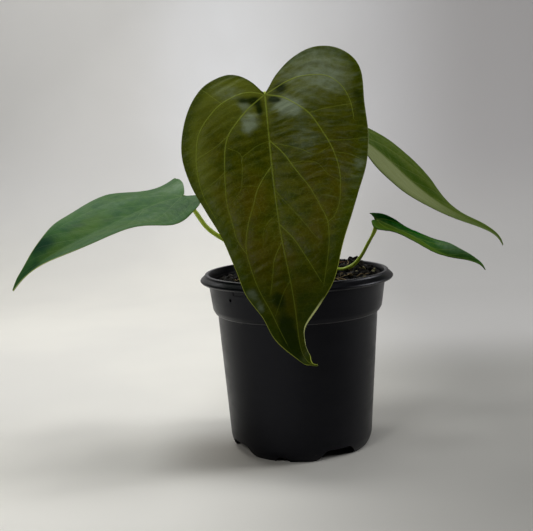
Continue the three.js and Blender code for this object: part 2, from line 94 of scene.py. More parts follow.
# %% Shader helpers
class Wire:
    """A node's output, usable in Python arithmetic."""

    def __init__(self, finish, socket):
        self.finish = finish
        self.socket = socket

    def math(self, operation, *values):
        return self.finish.add("Math", {"operation": operation}, dict(enumerate(values)))

    def __add__(self, other):
        return self.math("ADD", self, other)

    __radd__ = __add__

    def __sub__(self, other):
        return self.math("SUBTRACT", self, other)

    def __rsub__(self, other):
        return self.math("SUBTRACT", other, self)

    def __mul__(self, other):
        return self.math("MULTIPLY", self, other)

    __rmul__ = __mul__

    def __abs__(self):
        return self.math("ABSOLUTE", self)

    def least(self, other):
        return self.math("MINIMUM", self, other)

    def most(self, other):
        return self.math("MAXIMUM", self, other)

    def fade(self, start, end):
        """0 at start, 1 at end, and a smooth step between them."""
        limits = {"Value": self, "From Min": min(start, end), "From Max": max(start, end),
                  "To Min": float(start > end), "To Max": float(end > start)}
        return self.finish.add("MapRange", {"interpolation_type": "SMOOTHSTEP"}, limits)


class Finish:
    """A material under construction."""

    def __init__(self, name):
        self.material = bpy.data.materials.new(name)
        self.material.use_nodes = True
        self.tree = self.material.node_tree
        self.shader = self.tree.nodes["Principled BSDF"]

    def feed(self, socket, value):
        if isinstance(value, Wire):
            self.tree.links.new(value.socket, socket)
        elif isinstance(value, tuple) and len(value) == 3 and len(socket.default_value) == 4:
            socket.default_value = (*value, 1)
        else:
            socket.default_value = value

    def add(self, kind, settings=None, sockets=None, out=0):
        node = self.tree.nodes.new("ShaderNode" + kind)
        for name, value in (settings or {}).items():
            setattr(node, name, value)
        for name, value in (sockets or {}).items():
            self.feed(node.inputs[name], value)
        return Wire(self, node.outputs[out])

    def place(self):
        """Object coordinates in millimetres."""
        at = self.add("TexCoord", out=3)
        return self.add("VectorMath", {"operation": "SCALE"}, {0: at, "Scale": 1 / MM})

    def attribute(self, name):
        return self.add("Attribute", {"attribute_name": name}, out=1)

    def number(self, name):
        return self.add("Attribute", {"attribute_name": name}, out=2)

    def split(self, vector):
        parts = self.add("SeparateXYZ", sockets={0: vector}).socket.node
        return [Wire(self, parts.outputs[k]) for k in range(3)]

    def stretch(self, vector, factors):
        return self.add("VectorMath", {"operation": "MULTIPLY"}, {0: vector, 1: factors})

    def grain(self, at, size, detail=2.0, rough=0.5):
        """Soft noise from 0 to 1, with blotches about size millimetres across."""
        sockets = {"Vector": at, "Scale": 1 / size, "Detail": detail, "Roughness": rough}
        return self.add("TexNoise", sockets=sockets)

    def cells(self, at, size, feature="F1"):
        sockets = {"Vector": at, "Scale": 1 / size}
        return self.add("TexVoronoi", {"feature": feature}, sockets)

    def mix(self, first, second, share):
        return self.add("Mix", {"data_type": "RGBA"}, {0: share, 6: first, 7: second}, out=2)

    def layered(self, colour, *layers):
        """A colour under layers of (colour, share), each laid over those before it."""
        for over, share in layers:
            colour = self.mix(colour, over, share)
        return colour

    def bump(self, height, distance, strength=1.0):
        """A bump whose height runs from 0 to 1 over distance millimetres."""
        sockets = {"Height": height, "Distance": distance * MM, "Strength": strength}
        return self.add("Bump", sockets=sockets)

    def paint(self, **sockets):
        for name, value in sockets.items():
            self.feed(self.shader.inputs[name.replace("_", " ")], value)
        return self.material


def tint(red, green, blue):
    """A colour picked on a screen, 0 to 255 a channel, as the linear light that shaders use."""
    return tuple((c / 255 / 12.92) if c < 11 else ((c / 255 + 0.055) / 1.055) ** 2.4
                 for c in (red, green, blue))


print("white is", tint(255, 255, 255))

# %% [markdown]
# ## Modelling helpers
#
# Every piece ends the same way: its mesh lies in place, its object sits at the origin, it
# rides on the one body, and it names the material slot that it belongs to.
# Nothing may be selected when a new primitive is added, or the next operator would move more
# than it should, so each one starts from an empty selection.
# Smooth lines through a few points turn up in stalks, outlines and veins alike, so one
# function draws them all: a centripetal curve, which never loops between uneven points.

# %% Modelling helpers
def start_mesh():
    bpy.ops.object.select_all(action="DESELECT")


def new_grid(rows, columns):
    """A flat grid from -1 to 1 both ways, from which every sheet is made."""
    start_mesh()
    bpy.ops.mesh.primitive_grid_add(x_subdivisions=rows, y_subdivisions=columns, size=2)
    return bpy.context.object


def joined(pieces):
    """One object out of several."""
    start_mesh()
    for piece in pieces:
        piece.select_set(True)
    bpy.context.view_layer.objects.active = pieces[0]
    bpy.ops.object.join()
    return pieces[0]


def finish_piece(piece, name, materials, replaces=()):
    piece.name = name
    piece.data.name = name
    piece.data.materials.clear()
    for material in materials:
        piece.data.materials.append(material)
    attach(piece, "root")
    if replaces:
        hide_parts(*replaces)
    piece.select_set(False)
    print(name, "has", len(piece.data.polygons), "faces")


def apply_modifier(piece, kind, **settings):
    bpy.context.view_layer.objects.active = piece
    bpy.ops.object.modifier_add(type=kind)
    modifier = piece.modifiers[-1]
    for name, value in settings.items():
        setattr(modifier, name, value)
    bpy.ops.object.modifier_apply(modifier=modifier.name)


def walked_along(line, power=1):
    """How far along a line each of its points lies, with every step raised to a power."""
    return np.concatenate([[0], np.cumsum(np.linalg.norm(np.diff(line, axis=0), axis=1) ** power)])


def smooth_line(points, per_span=8):
    """Points on a smooth curve through the given ones, evenly many in each span."""
    points = np.asarray(points, float)
    points = np.vstack([2 * points[0] - points[1], points, 2 * points[-1] - points[-2]])
    knots = walked_along(points, power=0.5)
    made = []
    for i in range(1, len(points) - 2):
        t = np.linspace(knots[i], knots[i + 1], per_span, endpoint=False)[:, None]
        a, b, c, d = knots[i - 1:i + 3]
        p, q, r, s = points[i - 1:i + 3]
        first = (b - t) / (b - a) * p + (t - a) / (b - a) * q
        second = (c - t) / (c - b) * q + (t - b) / (c - b) * r
        third = (d - t) / (d - c) * r + (t - c) / (d - c) * s
        left = (c - t) / (c - a) * first + (t - a) / (c - a) * second
        right = (d - t) / (d - b) * second + (t - b) / (d - b) * third
        made.append((c - t) / (c - b) * left + (t - b) / (c - b) * right)
    return np.vstack([*made, points[-2]])


def give_attribute(piece, name, values):
    values = np.asarray(values, np.float32)
    kind, field = ("FLOAT_VECTOR", "vector") if values.ndim == 2 else ("FLOAT", "value")
    attribute = piece.data.attributes.new(name, kind, "POINT")
    attribute.data.foreach_set(field, values.ravel())


def get_points(piece):
    flat = np.empty(3 * len(piece.data.vertices), np.float32)
    piece.data.vertices.foreach_get("co", flat)
    return flat.reshape(-1, 3).astype(float)


def set_points(piece, points):
    piece.data.vertices.foreach_set("co", np.asarray(points, np.float32).ravel())
    piece.data.update()


print("a smooth line through 3 points has", len(smooth_line([(0, 0), (1, 1), (2, 0)])), "points")

# %% [markdown]
# ## Where a blade lies
#
# A leaf blade is a thin sheet that grew along its midrib. It could be sculpted, but then its
# outline and its hang would have to be caught again by hand. Here each blade is described as a
# gardener would: how long it is, which way the midrib heads and how steeply it falls at a few
# stations, how far each half is raised, and the outline as distances along and across.
# The frame's blades follow the same numbers, so the fine blades land exactly on them.

# %% Blade measures
STATIONS = np.array([-0.2, 0, 0.25, 0.5, 0.75, 0.9, 1])
ROW_CROWDING, COLUMN_CROWDING, RIB_END = 1.8, 1.4, 0.996

HEART = [(-0.01, 0.03), (-0.09, 0.1), (-0.17, 0.28), (-0.21, 0.52), (-0.16, 0.78), (-0.02, 0.96), (0.14, 1),
         (0.3, 0.93), (0.47, 0.75), (0.63, 0.52), (0.77, 0.29), (0.88, 0.13), (0.95, 0.068), (1, 0.018)]
FRONT_RIGHT = [(-2, 1.5), (-8, 6), (-13.5, 13), (-15, 21), (-10, 32), (1, 40.5), (15, 46), (30, 48),
               (46, 44.6), (61, 38), (76, 31.2), (92, 27), (108, 24), (121, 17.5), (132.7, 12.8),
               (142.7, 4.5), (147.6, 2.2), (150.2, 0.8), (154.2, 0.4)]
FRONT_LEFT = [(-2, 1.2), (-10, 8), (-16, 18), (-18, 31), (-14, 44.5), (-5, 52.6), (12, 52.5), (30, 52.5),
              (46, 49.5), (61, 43.5), (78, 36.5), (93, 29.5), (107, 22.5), (118, 13.5), (128.6, 4.3),
              (137, 2.9), (146.1, 3), (150.6, 0.6), (154.2, 0.4)]


def heart(length, half_width, lobe):
    """A heart-shaped margin, whose lobe behind the stalk is longer or shorter."""
    return [(u * length * (lobe if u < 0 else 1), v * half_width) for u, v in HEART]


BLADES = {
    "front": dict(
        junction=(-13.7, -30, 204.7), length=154.2, right=FRONT_RIGHT, left=FRONT_LEFT, faces=(0, -1, 0),
        heading=(-66, -72, -75, -75, -41, -46, -37), slope=(-48, -72, -73, -62, -81, -73, 10),
        lift_right=(10, 8, 6, 4, 4, 6, 8), lift_left=(10, 8, 6, 4, 4, 6, 8),
        bend_right=-0.0024, bend_left=-0.0024,
        stalk=[(3, 2.5, 108.6), (1, 7, 130), (-4, 10, 158), (-8, 6, 183), (-11.5, -6, 198),
               (-13.3, -19, 203.6)],
        stalk_radius=(2.3, 1.9)),
    "left": dict(
        junction=(-63.6, -14, 150.6), length=112.5, right=heart(112.5, 39, 0.17), left=heart(112.5, 39, 0.36),
        faces=(0, 0, 1),
        heading=(183, 198, 219, 228, 216, 210, 206), slope=(-7, -11, -18, -17, -24, -41, -54),
        lift_right=(75, 18, 20, 21, 40, 41, 41), lift_left=(4, -4, -6, 7, 1, 6, 11),
        bend_right=-0.0056, bend_left=-0.0023,
        stalk=[(-4.2, 2.4, 104.4), (-14, 1, 109), (-30, -1, 117.4), (-45.2, -2.5, 126.1), (-51.6, -6, 132),
               (-56.6, -10, 140.4), (-60, -12.4, 146)],
        stalk_radius=(1.7, 1.35)),
    "back": dict(
        junction=(41.3, 30, 180.9), length=120, right=heart(120, 38.4, 1), left=heart(120, 38.4, 1),
        faces=(0, 0, 1), heading=(23, 17, 12, 12, 9, 5, 0), slope=(-18, -30, -44, -37, -28, -35, -70),
        lift_right=(-3, -22, -24, -19, -13, -11, -10), lift_left=(25, 23, 29, 32, 15, 29, 42),
        bend_right=-0.0006, bend_left=0.0002,
        stalk=[(5.2, 7, 107.5), (13, 12.5, 130), (23, 19, 154), (32, 24.5, 171), (37.5, 27.8, 177.4)],
        stalk_radius=(1.9, 1.45)),
    "small": dict(
        junction=(48.9, 6, 131.5), length=71, right=heart(71, 18.5, 0.2), left=heart(71, 18.5, 0.3),
        faces=(0, 0, 1), heading=(20, -8, -24, -8, -9, -2, 7), slope=(-40, -27, -24, -35, -10, -26, -62),
        lift_right=(12, -12, 2, -4, 8, 1, 10), lift_left=(-8, 27, 16, 33, 73, 70, 42),
        bend_right=0.0083, bend_left=-0.0378,
        stalk=[(10.2, 3.6, 104.8), (17, 3.1, 103.9), (23, 3.1, 103.1), (27.5, 3.2, 102.7), (31, 3.4, 103.7),
               (34, 3.7, 105.1), (36.8, 4, 107.6), (39.7, 4.4, 111.2), (43.4, 4.9, 117.6), (48, 6.1, 126)],
        stalk_radius=(1.5, 1.05)),
}
print("blade lengths in mm:", {name: blade["length"] for name, blade in BLADES.items()})

# %% [markdown]
# The blade's formulas work on whole arrays, because a fine blade has tens of thousands of
# points. `on_blade` takes a point of the flat leaf, u along the midrib and v across it, and
# gives its place in space. The midrib is walked in short straight steps from the stalk.

# %% Blade formulas
def at_station(values, w):
    """Smooth value between the stations, at shares w of the blade's length."""
    values = np.asarray(values, float)
    last = len(STATIONS) - 1
    w = np.clip(w, STATIONS[0], STATIONS[-1])
    here = np.arange(last + 1)
    before, after = np.maximum(here - 1, 0), np.minimum(here + 1, last)
    slopes = (values[after] - values[before]) / (STATIONS[after] - STATIONS[before])
    i = np.clip(np.searchsorted(STATIONS, w, side="left") - 1, 0, last - 1)
    step = STATIONS[i + 1] - STATIONS[i]
    f = (w - STATIONS[i]) / step
    return ((1 + 2 * f) * (1 - f) ** 2 * values[i] + f * (1 - f) ** 2 * step * slopes[i]
            + f * f * (3 - 2 * f) * values[i + 1] + f * f * (f - 1) * step * slopes[i + 1])


def rib_direction(blade, w):
    heading = np.radians(at_station(blade["heading"], w))
    slope = np.radians(at_station(blade["slope"], w))
    return np.stack([np.cos(slope) * np.cos(heading), np.cos(slope) * np.sin(heading), np.sin(slope)], -1)


RIB_STEPS = 200
STEPS_BEHIND_STALK = 60


def on_blade(blade, u, v):
    """Place in space of a point of the flat blade, in millimetres."""
    u, v = np.asarray(u, float), np.asarray(v, float)
    w = u / blade["length"]
    step = 1 / RIB_STEPS
    shares = np.arange(-STEPS_BEHIND_STALK, RIB_STEPS + 1) * step
    walked = rib_direction(blade, (shares[:-1] + shares[1:]) / 2) * step * blade["length"]
    rib = np.vstack([[0, 0, 0], np.cumsum(walked, axis=0)])
    rib += np.array(blade["junction"]) - rib[STEPS_BEHIND_STALK]
    middle = np.stack([np.interp(w, shares, rib[:, k]) for k in range(3)], -1)
    side = np.cross(rib_direction(blade, w), np.array(blade["faces"], float))
    side /= np.linalg.norm(side, axis=-1, keepdims=True)
    normal = np.cross(side, rib_direction(blade, w))
    right = v >= 0
    lift = np.radians(np.where(right, at_station(blade["lift_right"], w), at_station(blade["lift_left"], w)))
    arc = 0.5 * np.where(right, blade["bend_right"], blade["bend_left"]) * v * v
    outward = np.abs(v) * np.cos(lift) - arc * np.sin(lift)
    upward = np.abs(v) * np.sin(lift) + arc * np.cos(lift)
    return middle + side * (np.sign(v) * outward)[..., None] + normal * upward[..., None]


def margin(outline, s):
    """Points of an outline at shares s of its way from the stalk to the tip."""
    outline = np.asarray(outline, float)
    padded = np.vstack([2 * outline[0] - outline[1], outline, 2 * outline[-1] - outline[-2]])
    q = s * (len(outline) - 1)
    i = np.minimum(q.astype(int), len(outline) - 2)
    f = (q - i)[..., None]
    a, b, c, d = (padded[i + k] for k in range(4))
    return 0.5 * (2 * b + (c - a) * f + (2 * a - 5 * b + 4 * c - d) * f ** 2
                  + (3 * b - a - 3 * c + d) * f ** 3)


for name, blade in BLADES.items():
    tip = on_blade(blade, blade["length"], 0)
    print(name, "tip at", tuple(round(float(c), 1) for c in tip), "mm")

# %% [markdown]
# ## Veins
#
# In this plant five or more veins leave the stalk's end together, bow out through the lobes
# and run on towards the tip, and finer ones branch from the midrib. Each vein here is a short
# list of points on the flat leaf with a width at its start and end.
# The front blade is large in the picture, so its veins are placed one by one. The other three
# share one pattern, scaled to their size.
# For every point of a blade we keep its distance to each vein, divided by the vein's width and
# signed by the side it lies on. A signed distance passes through zero evenly, so the shader can
# draw a crisp line between mesh points that are wider apart than the vein.

# %% Vein patterns
FRONT_VEINS = [
    ([(0, 0), (40, 0.4), (80, 0.2), (120, 0), (153, 0)], 0.62, 0.26),
    ([(0, 0.3), (-2, 7), (-1.6, 13), (3, 24), (9, 31), (18, 37.5), (28, 40), (40, 40.5), (52, 38.6),
      (66, 33)], 0.4, 0.22),
    ([(0, 0.3), (7, 9.6), (14, 16.5), (21, 22), (29, 24.6), (43, 26), (58, 26.4), (71, 24.4), (78, 23.4),
      (86, 19.8)], 0.46, 0.26),
    ([(40, 0.4), (46, 5.4), (52, 9.2), (61, 12.6), (71, 16.4), (83, 19.4), (95, 18.8), (108, 16.4),
      (118, 12.8), (127, 10), (136, 6.6)], 0.42, 0.24),
    ([(0, -0.3), (-4.6, -12), (-5.8, -19), (-5.4, -27), (-3.4, -35), (2, -41.4), (10, -45), (19, -46)],
     0.38, 0.2),
    ([(0, -0.3), (3, -9), (8, -16), (14, -22.6), (23, -27.8), (34, -32.6), (46, -35), (57, -34.5),
      (67, -32.4), (74, -28.8), (77, -25)], 0.48, 0.22),
    ([(26, 0), (34, -6.6), (43, -11.6), (55, -18.4), (66, -22.4), (76, -25), (82, -24.7), (90, -23.4),
      (97, -21), (104, -18.4), (109, -16.4)], 0.42, 0.22),
    ([(73, 0.2), (82, -5.6), (92, -9.6), (107, -15.4)], 0.38, 0.24),
    ([(83, 0.2), (92, 6.2), (98, 8), (109, 11.3)], 0.32, 0.18),
    ([(104, 0), (109, 4.2), (121, 10.6)], 0.3, 0.2),
    ([(54, 0), (64, -6.6), (74, -12.4), (86, -18.4)], 0.28, 0.16),
    ([(14, -22.6), (12.6, -31), (12, -45)], 0.26, 0.18),
    ([(30, -31), (31, -41), (31, -52)], 0.24, 0.16),
    ([(37, -33.8), (39, -41), (44, -49)], 0.24, 0.16),
    ([(22, 23), (27, 30), (32, 39.6)], 0.28, 0.2),
    ([(3, 24), (-2, 29), (-8, 34)], 0.26, 0.16),
    ([(41, 25.8), (45, 31), (50, 39)], 0.26, 0.16),
    ([(26, 0), (28, 6.6), (31.5, 12.4), (34, 15.8), (39, 16.2), (50, 17.6)], 0.24, 0.2),
    ([(50, 17.6), (49.8, 14), (50.6, 9)], 0.26, 0.22),
    ([(34, 15.8), (31, 17.4), (28, 23)], 0.2, 0.16),
    ([(50, 17.6), (54, 20), (58, 24)], 0.2, 0.14),
    ([(67, 0.2), (71, 5.6), (75, 8.6), (81, 10)], 0.2, 0.14),
    ([(78, 0.6), (82, 6)], 0.18, 0.14),
    ([(27, -0.6), (33, -16), (37, -23), (33.6, -31.4)], 0.2, 0.16),
    ([(40, -10), (40, -17), (42, -24), (49, -29), (54, -35)], 0.2, 0.16),
]
MAIN_VEINS = 9
FAR_FROM_VEIN = 60
VEIN_REACH = 0.97


def heart_veins(length, half_width):
    """The usual pattern of a heart-shaped blade: two bowed veins a side, then ever shorter branches."""
    veins = [([(0, 0), (0.5 * length, 0), (length, 0)], 1.0, 0.28)]
    bowed = [
        ([(0, 0.01), (-0.07, 0.24), (-0.06, 0.55), (0.06, 0.8), (0.22, 0.86), (0.4, 0.72)], 0.55, 0.25),
        ([(0, 0.01), (0.05, 0.24), (0.15, 0.48), (0.3, 0.6), (0.47, 0.56), (0.62, 0.42)], 0.62, 0.25),
    ]
    for start in (0.15, 0.3, 0.45, 0.59, 0.71, 0.82):
        reach = 0.58 * (1 - start) ** 0.9
        branch = [(start, 0), (start + 0.08, 0.38 * reach), (start + 0.19, 0.8 * reach), (start + 0.3, reach)]
        bowed.append((branch, 0.44 - 0.2 * start, 0.2))
    for side in (1, -1):
        for k, (points, wide, narrow) in enumerate(bowed):
            shift = 0 if k < 2 or side > 0 else 0.06
            drawn = [((u + shift) * length, side * v * half_width) for u, v in points]
            veins.append((drawn, wide, narrow))
    return veins


def vein_distances(veins, u, v):
    """Signed distance to each vein over its half-width, and the distance to the nearest in mm."""
    at = np.stack([u, v], -1)
    fields, nearest = [], np.full(len(u), 99.0)
    for points, wide, narrow in veins:
        line = smooth_line(points, per_span=6)
        closest, signed = np.full(len(u), 1e9), np.zeros(len(u))
        for k in range(len(line) - 1):
            start, along = line[k], line[k + 1] - line[k]
            away = at - start
            share = np.clip(away @ along / (along @ along), 0, 1)
            gap = away - share[:, None] * along
            distance = np.hypot(gap[:, 0], gap[:, 1])
            side = np.sign(along[0] * away[:, 1] - along[1] * away[:, 0])
            width = wide + (narrow - wide) * (k + share) / (len(line) - 1)
            better = distance < closest
            closest = np.where(better, distance, closest)
            signed = np.where(better, side * distance / width, signed)
        fields.append(np.clip(signed, -FAR_FROM_VEIN, FAR_FROM_VEIN))
        nearest = np.minimum(nearest, closest)
    return np.array(fields), nearest


VEINS = {"front": FRONT_VEINS}
for name in ("left", "back", "small"):
    half_width = max(v for _, v in BLADES[name]["left"])
    VEINS[name] = heart_veins(BLADES[name]["length"], VEIN_REACH * half_width)
print("veins:", {name: len(veins) for name, veins in VEINS.items()})

# %% [markdown]
# ## Shaping a blade
#
# The sheet starts as a grid, the natural mesh for a leaf: its rows fan out from the midrib to
# the margin, so that no face is wasted outside the outline. Moving thousands of points by hand
# is hopeless, so the grid's points are placed by the formulas above. Between its veins a living
# blade is pushed up into soft quilted cushions, and across them run shallow pleats. Both are
# real relief here and not only shading. A few larger swells are placed one by one.
# Solidify then gives the sheet its underside and rim, and the underside gets its own finish.
# Two sets of soft spots are kept for that finish: painted sheen, where the leaf is drawn
# pale, and painted shade, where it is drawn dark.

# %% Blade builder
BLADE_THICKNESS = 0.62
EDGE_THICKNESS, EDGE_WIDTH = 0.38, 2.5
QUILT_HEIGHT, CUSHION_REACH, CUSHION_LEVEL = 0.3, 2.6, 0.55
PLEAT_HEIGHT = 0.36
CALM_MARGIN, CALM_TIP = 5, 14

# Swells, spots of painted sheen and spots of painted shade on the flat leaf: middle u and v, reach along u
# and v, and strength
SWELLS = {"front": [(18, 9, 9, 9, 1.2), (13, -13, 9, 11, 1.1), (54, -43, 9, 9, 1.0), (-2, 22, 9, 12, 0.7),
                    (4, -30, 12, 15, 0.8), (36, -18, 10, 9, 0.8), (114, 20, 9, 6, -0.9),
                    (66, 16, 16, 9, 0.6)]}
SHEEN_SPOTS = {"front": [(14, 8.5, 6, 5.5, 0.95), (18, 12, 5.5, 4, 0.7), (5.5, 12, 3, 3.6, 0.85),
                    (8, -8.5, 5, 5, 0.95), (10, -15, 5, 5.5, 0.85), (45, -46, 7, 5, 0.6),
                    (56, -41, 6, 5, 0.5), (-3, 20, 8, 11, 0.75), (108, 21, 5, 3.6, 0.85),
                    (116, 17.5, 4.5, 2.6, 0.9), (-8, -22, 15, 19, 0.72), (-3, -39, 12, 12, 0.6),
                    (28, -20, 14, 11, 0.55)],
          "left": [(-4, 16, 12, 14, 0.85), (30, -18, 26, 10, 0.5), (26, 20, 24, 12, 0.6)],
          "back": [(40, -20, 40, 9, 0.3)],
          "small": [(44, -8, 9, 6, 0.9), (56, -5, 8, 4, 0.7)]}
SHADES = {"front": [(3, 6, 2.6, 3.5, 1), (2.4, 12.5, 2, 3.6, 0.8), (8.5, 4, 4, 2, 0.9), (3.4, -4, 2, 3, 1),
                    (4.6, -7, 1.2, 2.2, 0.6), (-2, -9, 3, 4, 0.9), (9, -49, 10, 3.5, 0.5),
                    (20, -43, 6, 6, 0.3), (130, 6, 13, 5.5, 1), (112, 8, 6, 5, 0.7), (140, 2, 7, 3, 0.8),
                    (124, -4, 12, 5, 0.35)],
          "left": [(86, 9, 9, 6, 0.9), (97, -2, 7, 5, 0.7), (62, 12, 9, 4, 0.45), (44, 6, 10, 3, 0.3)],
          "back": [(30, -9, 26, 7, 0.7), (60, -8, 18, 6, 0.6)],
          "small": [(8, -9, 10, 7, 0.8), (24, -9, 6, 6, 0.8)]}


def spots_at(spots, u, v):
    """Sum of soft round spots at points of the flat leaf."""
    total = np.zeros(len(u))
    for a, b, c, d, strength in spots:
        total = total + strength * np.exp(-((u - a) / c) ** 2 - ((v - b) / d) ** 2)
    return total


def pleat_way(u, v, seed):
    """How far a point lies across the pleats, which slant down on one half and run level on the other."""
    slant = np.where(v > 0, -0.42, -0.06) * np.abs(v)
    return u + slant + 1.5 * np.sin(v / 7.3 + seed) + 1.1 * np.sin(u / 9.1 - v / 5.7 + 2 * seed)


def pleats(u, v, seed):
    """Shallow uneven folds across the side veins, from -1 to 1."""
    way = pleat_way(u, v, seed)
    coarse = np.sin(2 * np.pi * way / (7.4 + 0.6 * np.sin(seed)))
    middle = np.sin(2 * np.pi * (way + 0.1 * np.abs(v)) / 4.3 + np.sin(v / 5.1))
    painted_shadow = 0.5 + 0.5 * np.sin(u / 13.7 + 1.3 * seed) * np.sin(v / 11.3 - seed)
    return (0.6 * coarse + 0.4 * middle) * (0.35 + 0.65 * painted_shadow)


def blade_relief(name, u, v, s, half_width, to_margin, nearest, quilt):
    """How far the sheet is raised at each point, and how far ribs stand out below it."""
    wide = np.clip(half_width / CALM_TIP, 0, 1)
    calm = np.clip(to_margin / CALM_MARGIN, 0, 1) * wide
    cushion = 1 - np.exp(-(nearest / CUSHION_REACH) ** 2)
    relief = QUILT_HEIGHT * quilt * calm * (cushion - CUSHION_LEVEL)
    folds = pleats(u, v, len(name)) * (0.35 + 0.65 * cushion)
    relief += PLEAT_HEIGHT * quilt * np.clip(to_margin / 3, 0.15, 1) * wide * folds
    relief += 0.14 * np.exp(-(v / 0.7) ** 2) * (1 - s)
    relief += spots_at(SWELLS.get(name, []), u, v) * calm
    midrib = 0.9 * (1 - s) * np.exp(-(v / 1.5) ** 2)
    return relief, midrib + 0.22 * np.exp(-(nearest / 0.6) ** 2) * calm


def blade_sheet(name, rows, columns, quilt):
    blade = BLADES[name]
    piece = new_grid(rows, 2 * columns)
    flat = get_points(piece)
    row = np.rint((flat[:, 0] + 1) / 2 * rows).astype(int)
    column = np.rint(-flat[:, 1] * columns).astype(int)
    s, t = row / rows, (np.abs(column) / columns) ** COLUMN_CROWDING
    edge = np.where((column >= 0)[:, None], margin(blade["right"], s), margin(blade["left"], s))
    middle = blade["length"] * s ** ROW_CROWDING * RIB_END
    u = middle + (edge[:, 0] - middle) * t
    v = np.sign(column) * edge[:, 1] * t

    fields, nearest = vein_distances(VEINS[name], u, v)
    to_margin = (1 - t) * np.hypot(edge[:, 0] - middle, edge[:, 1])
    relief, under_rib = blade_relief(name, u, v, s, edge[:, 1], to_margin, nearest, quilt)

    grid = np.empty((rows + 1, 2 * columns + 1), int)
    grid[row, column + columns] = np.arange(len(flat))
    surface = on_blade(blade, u, v)
    lattice = surface[grid]
    along = np.gradient(lattice, axis=0)
    across = np.gradient(lattice, axis=1)
    facing = np.cross(across, along)
    facing /= np.maximum(np.linalg.norm(facing, axis=-1, keepdims=True), 1e-9)
    normals = np.empty_like(surface)
    normals[grid.ravel()] = facing.reshape(-1, 3)

    thick = EDGE_THICKNESS + (BLADE_THICKNESS - EDGE_THICKNESS) * np.clip(to_margin / EDGE_WIDTH, 0, 1)
    top = surface + normals * (relief + thick / 2)[:, None]
    bottom = surface + normals * (relief - thick / 2 - under_rib)[:, None]
    give_attribute(piece, "flat", np.stack([u, v, to_margin], -1))
    for k in range(0, len(fields), 3):
        group = np.full((3, len(flat)), float(FAR_FROM_VEIN))
        group[:len(fields[k:k + 3])] = fields[k:k + 3]
        give_attribute(piece, f"veins_{k // 3}", group.T)
    marks = [spots_at(spots.get(name, []), u, v) for spots in (SHEEN_SPOTS, SHADES)]
    give_attribute(piece, "marks", np.stack([*marks, pleat_way(u, v, len(name))], -1))
    apply_modifier(piece, "SOLIDIFY", thickness=0.1, offset=-1, material_offset=1, material_offset_rim=0)
    set_points(piece, np.vstack([top, bottom]) * MM)
    bpy.ops.object.shade_smooth()
    return piece


print("a blade is", BLADE_THICKNESS, "mm thick and", EDGE_THICKNESS, "mm at its edge")

# %% [markdown]
# ## The finish of a blade
#
# Leaf green is several greens: the flesh between the veins, mottled a little where it is
# thicker, a brighter band along the margin, pale main veins, and a fine net of veinlets that
# only shows close up. All of it is drawn from the flat leaf's own coordinates, so that the
# pattern follows the leaf wherever it bends.
# The blade keeps almost no gloss of its own, because under these broad soft lights a glossy
# leaf turns grey all over. So light and shade are painted into its colour instead: a painted
# sheen near the stalk and on the lobes, in pale streaky patches, and painted shade in the hollows
# beside the stalk, in a few other spots and towards the tip. The front blade's upturned lobes are
# drawn lighter and greener, partly their own tone and partly painted light. The back blade's near
# half gets a painted sheen, and the small blade's near half the olive of its underside.

# %% Blade finish
LIT_LOBE_GREEN, ROLLED_EDGE = (110, 119, 38), (206, 212, 140)


def group_count(veins):
    """How many attributes hold the distances to these veins, by threes."""
    return (len(veins) + 2) // 3


def nearest_vein(finish, groups):
    """Distance to the nearest vein of these groups, in half-widths of that vein."""
    nearest = None
    for k in groups:
        for part in finish.split(finish.attribute(f"veins_{k}")):
            nearest = abs(part) if nearest is None else nearest.least(abs(part))
    return nearest


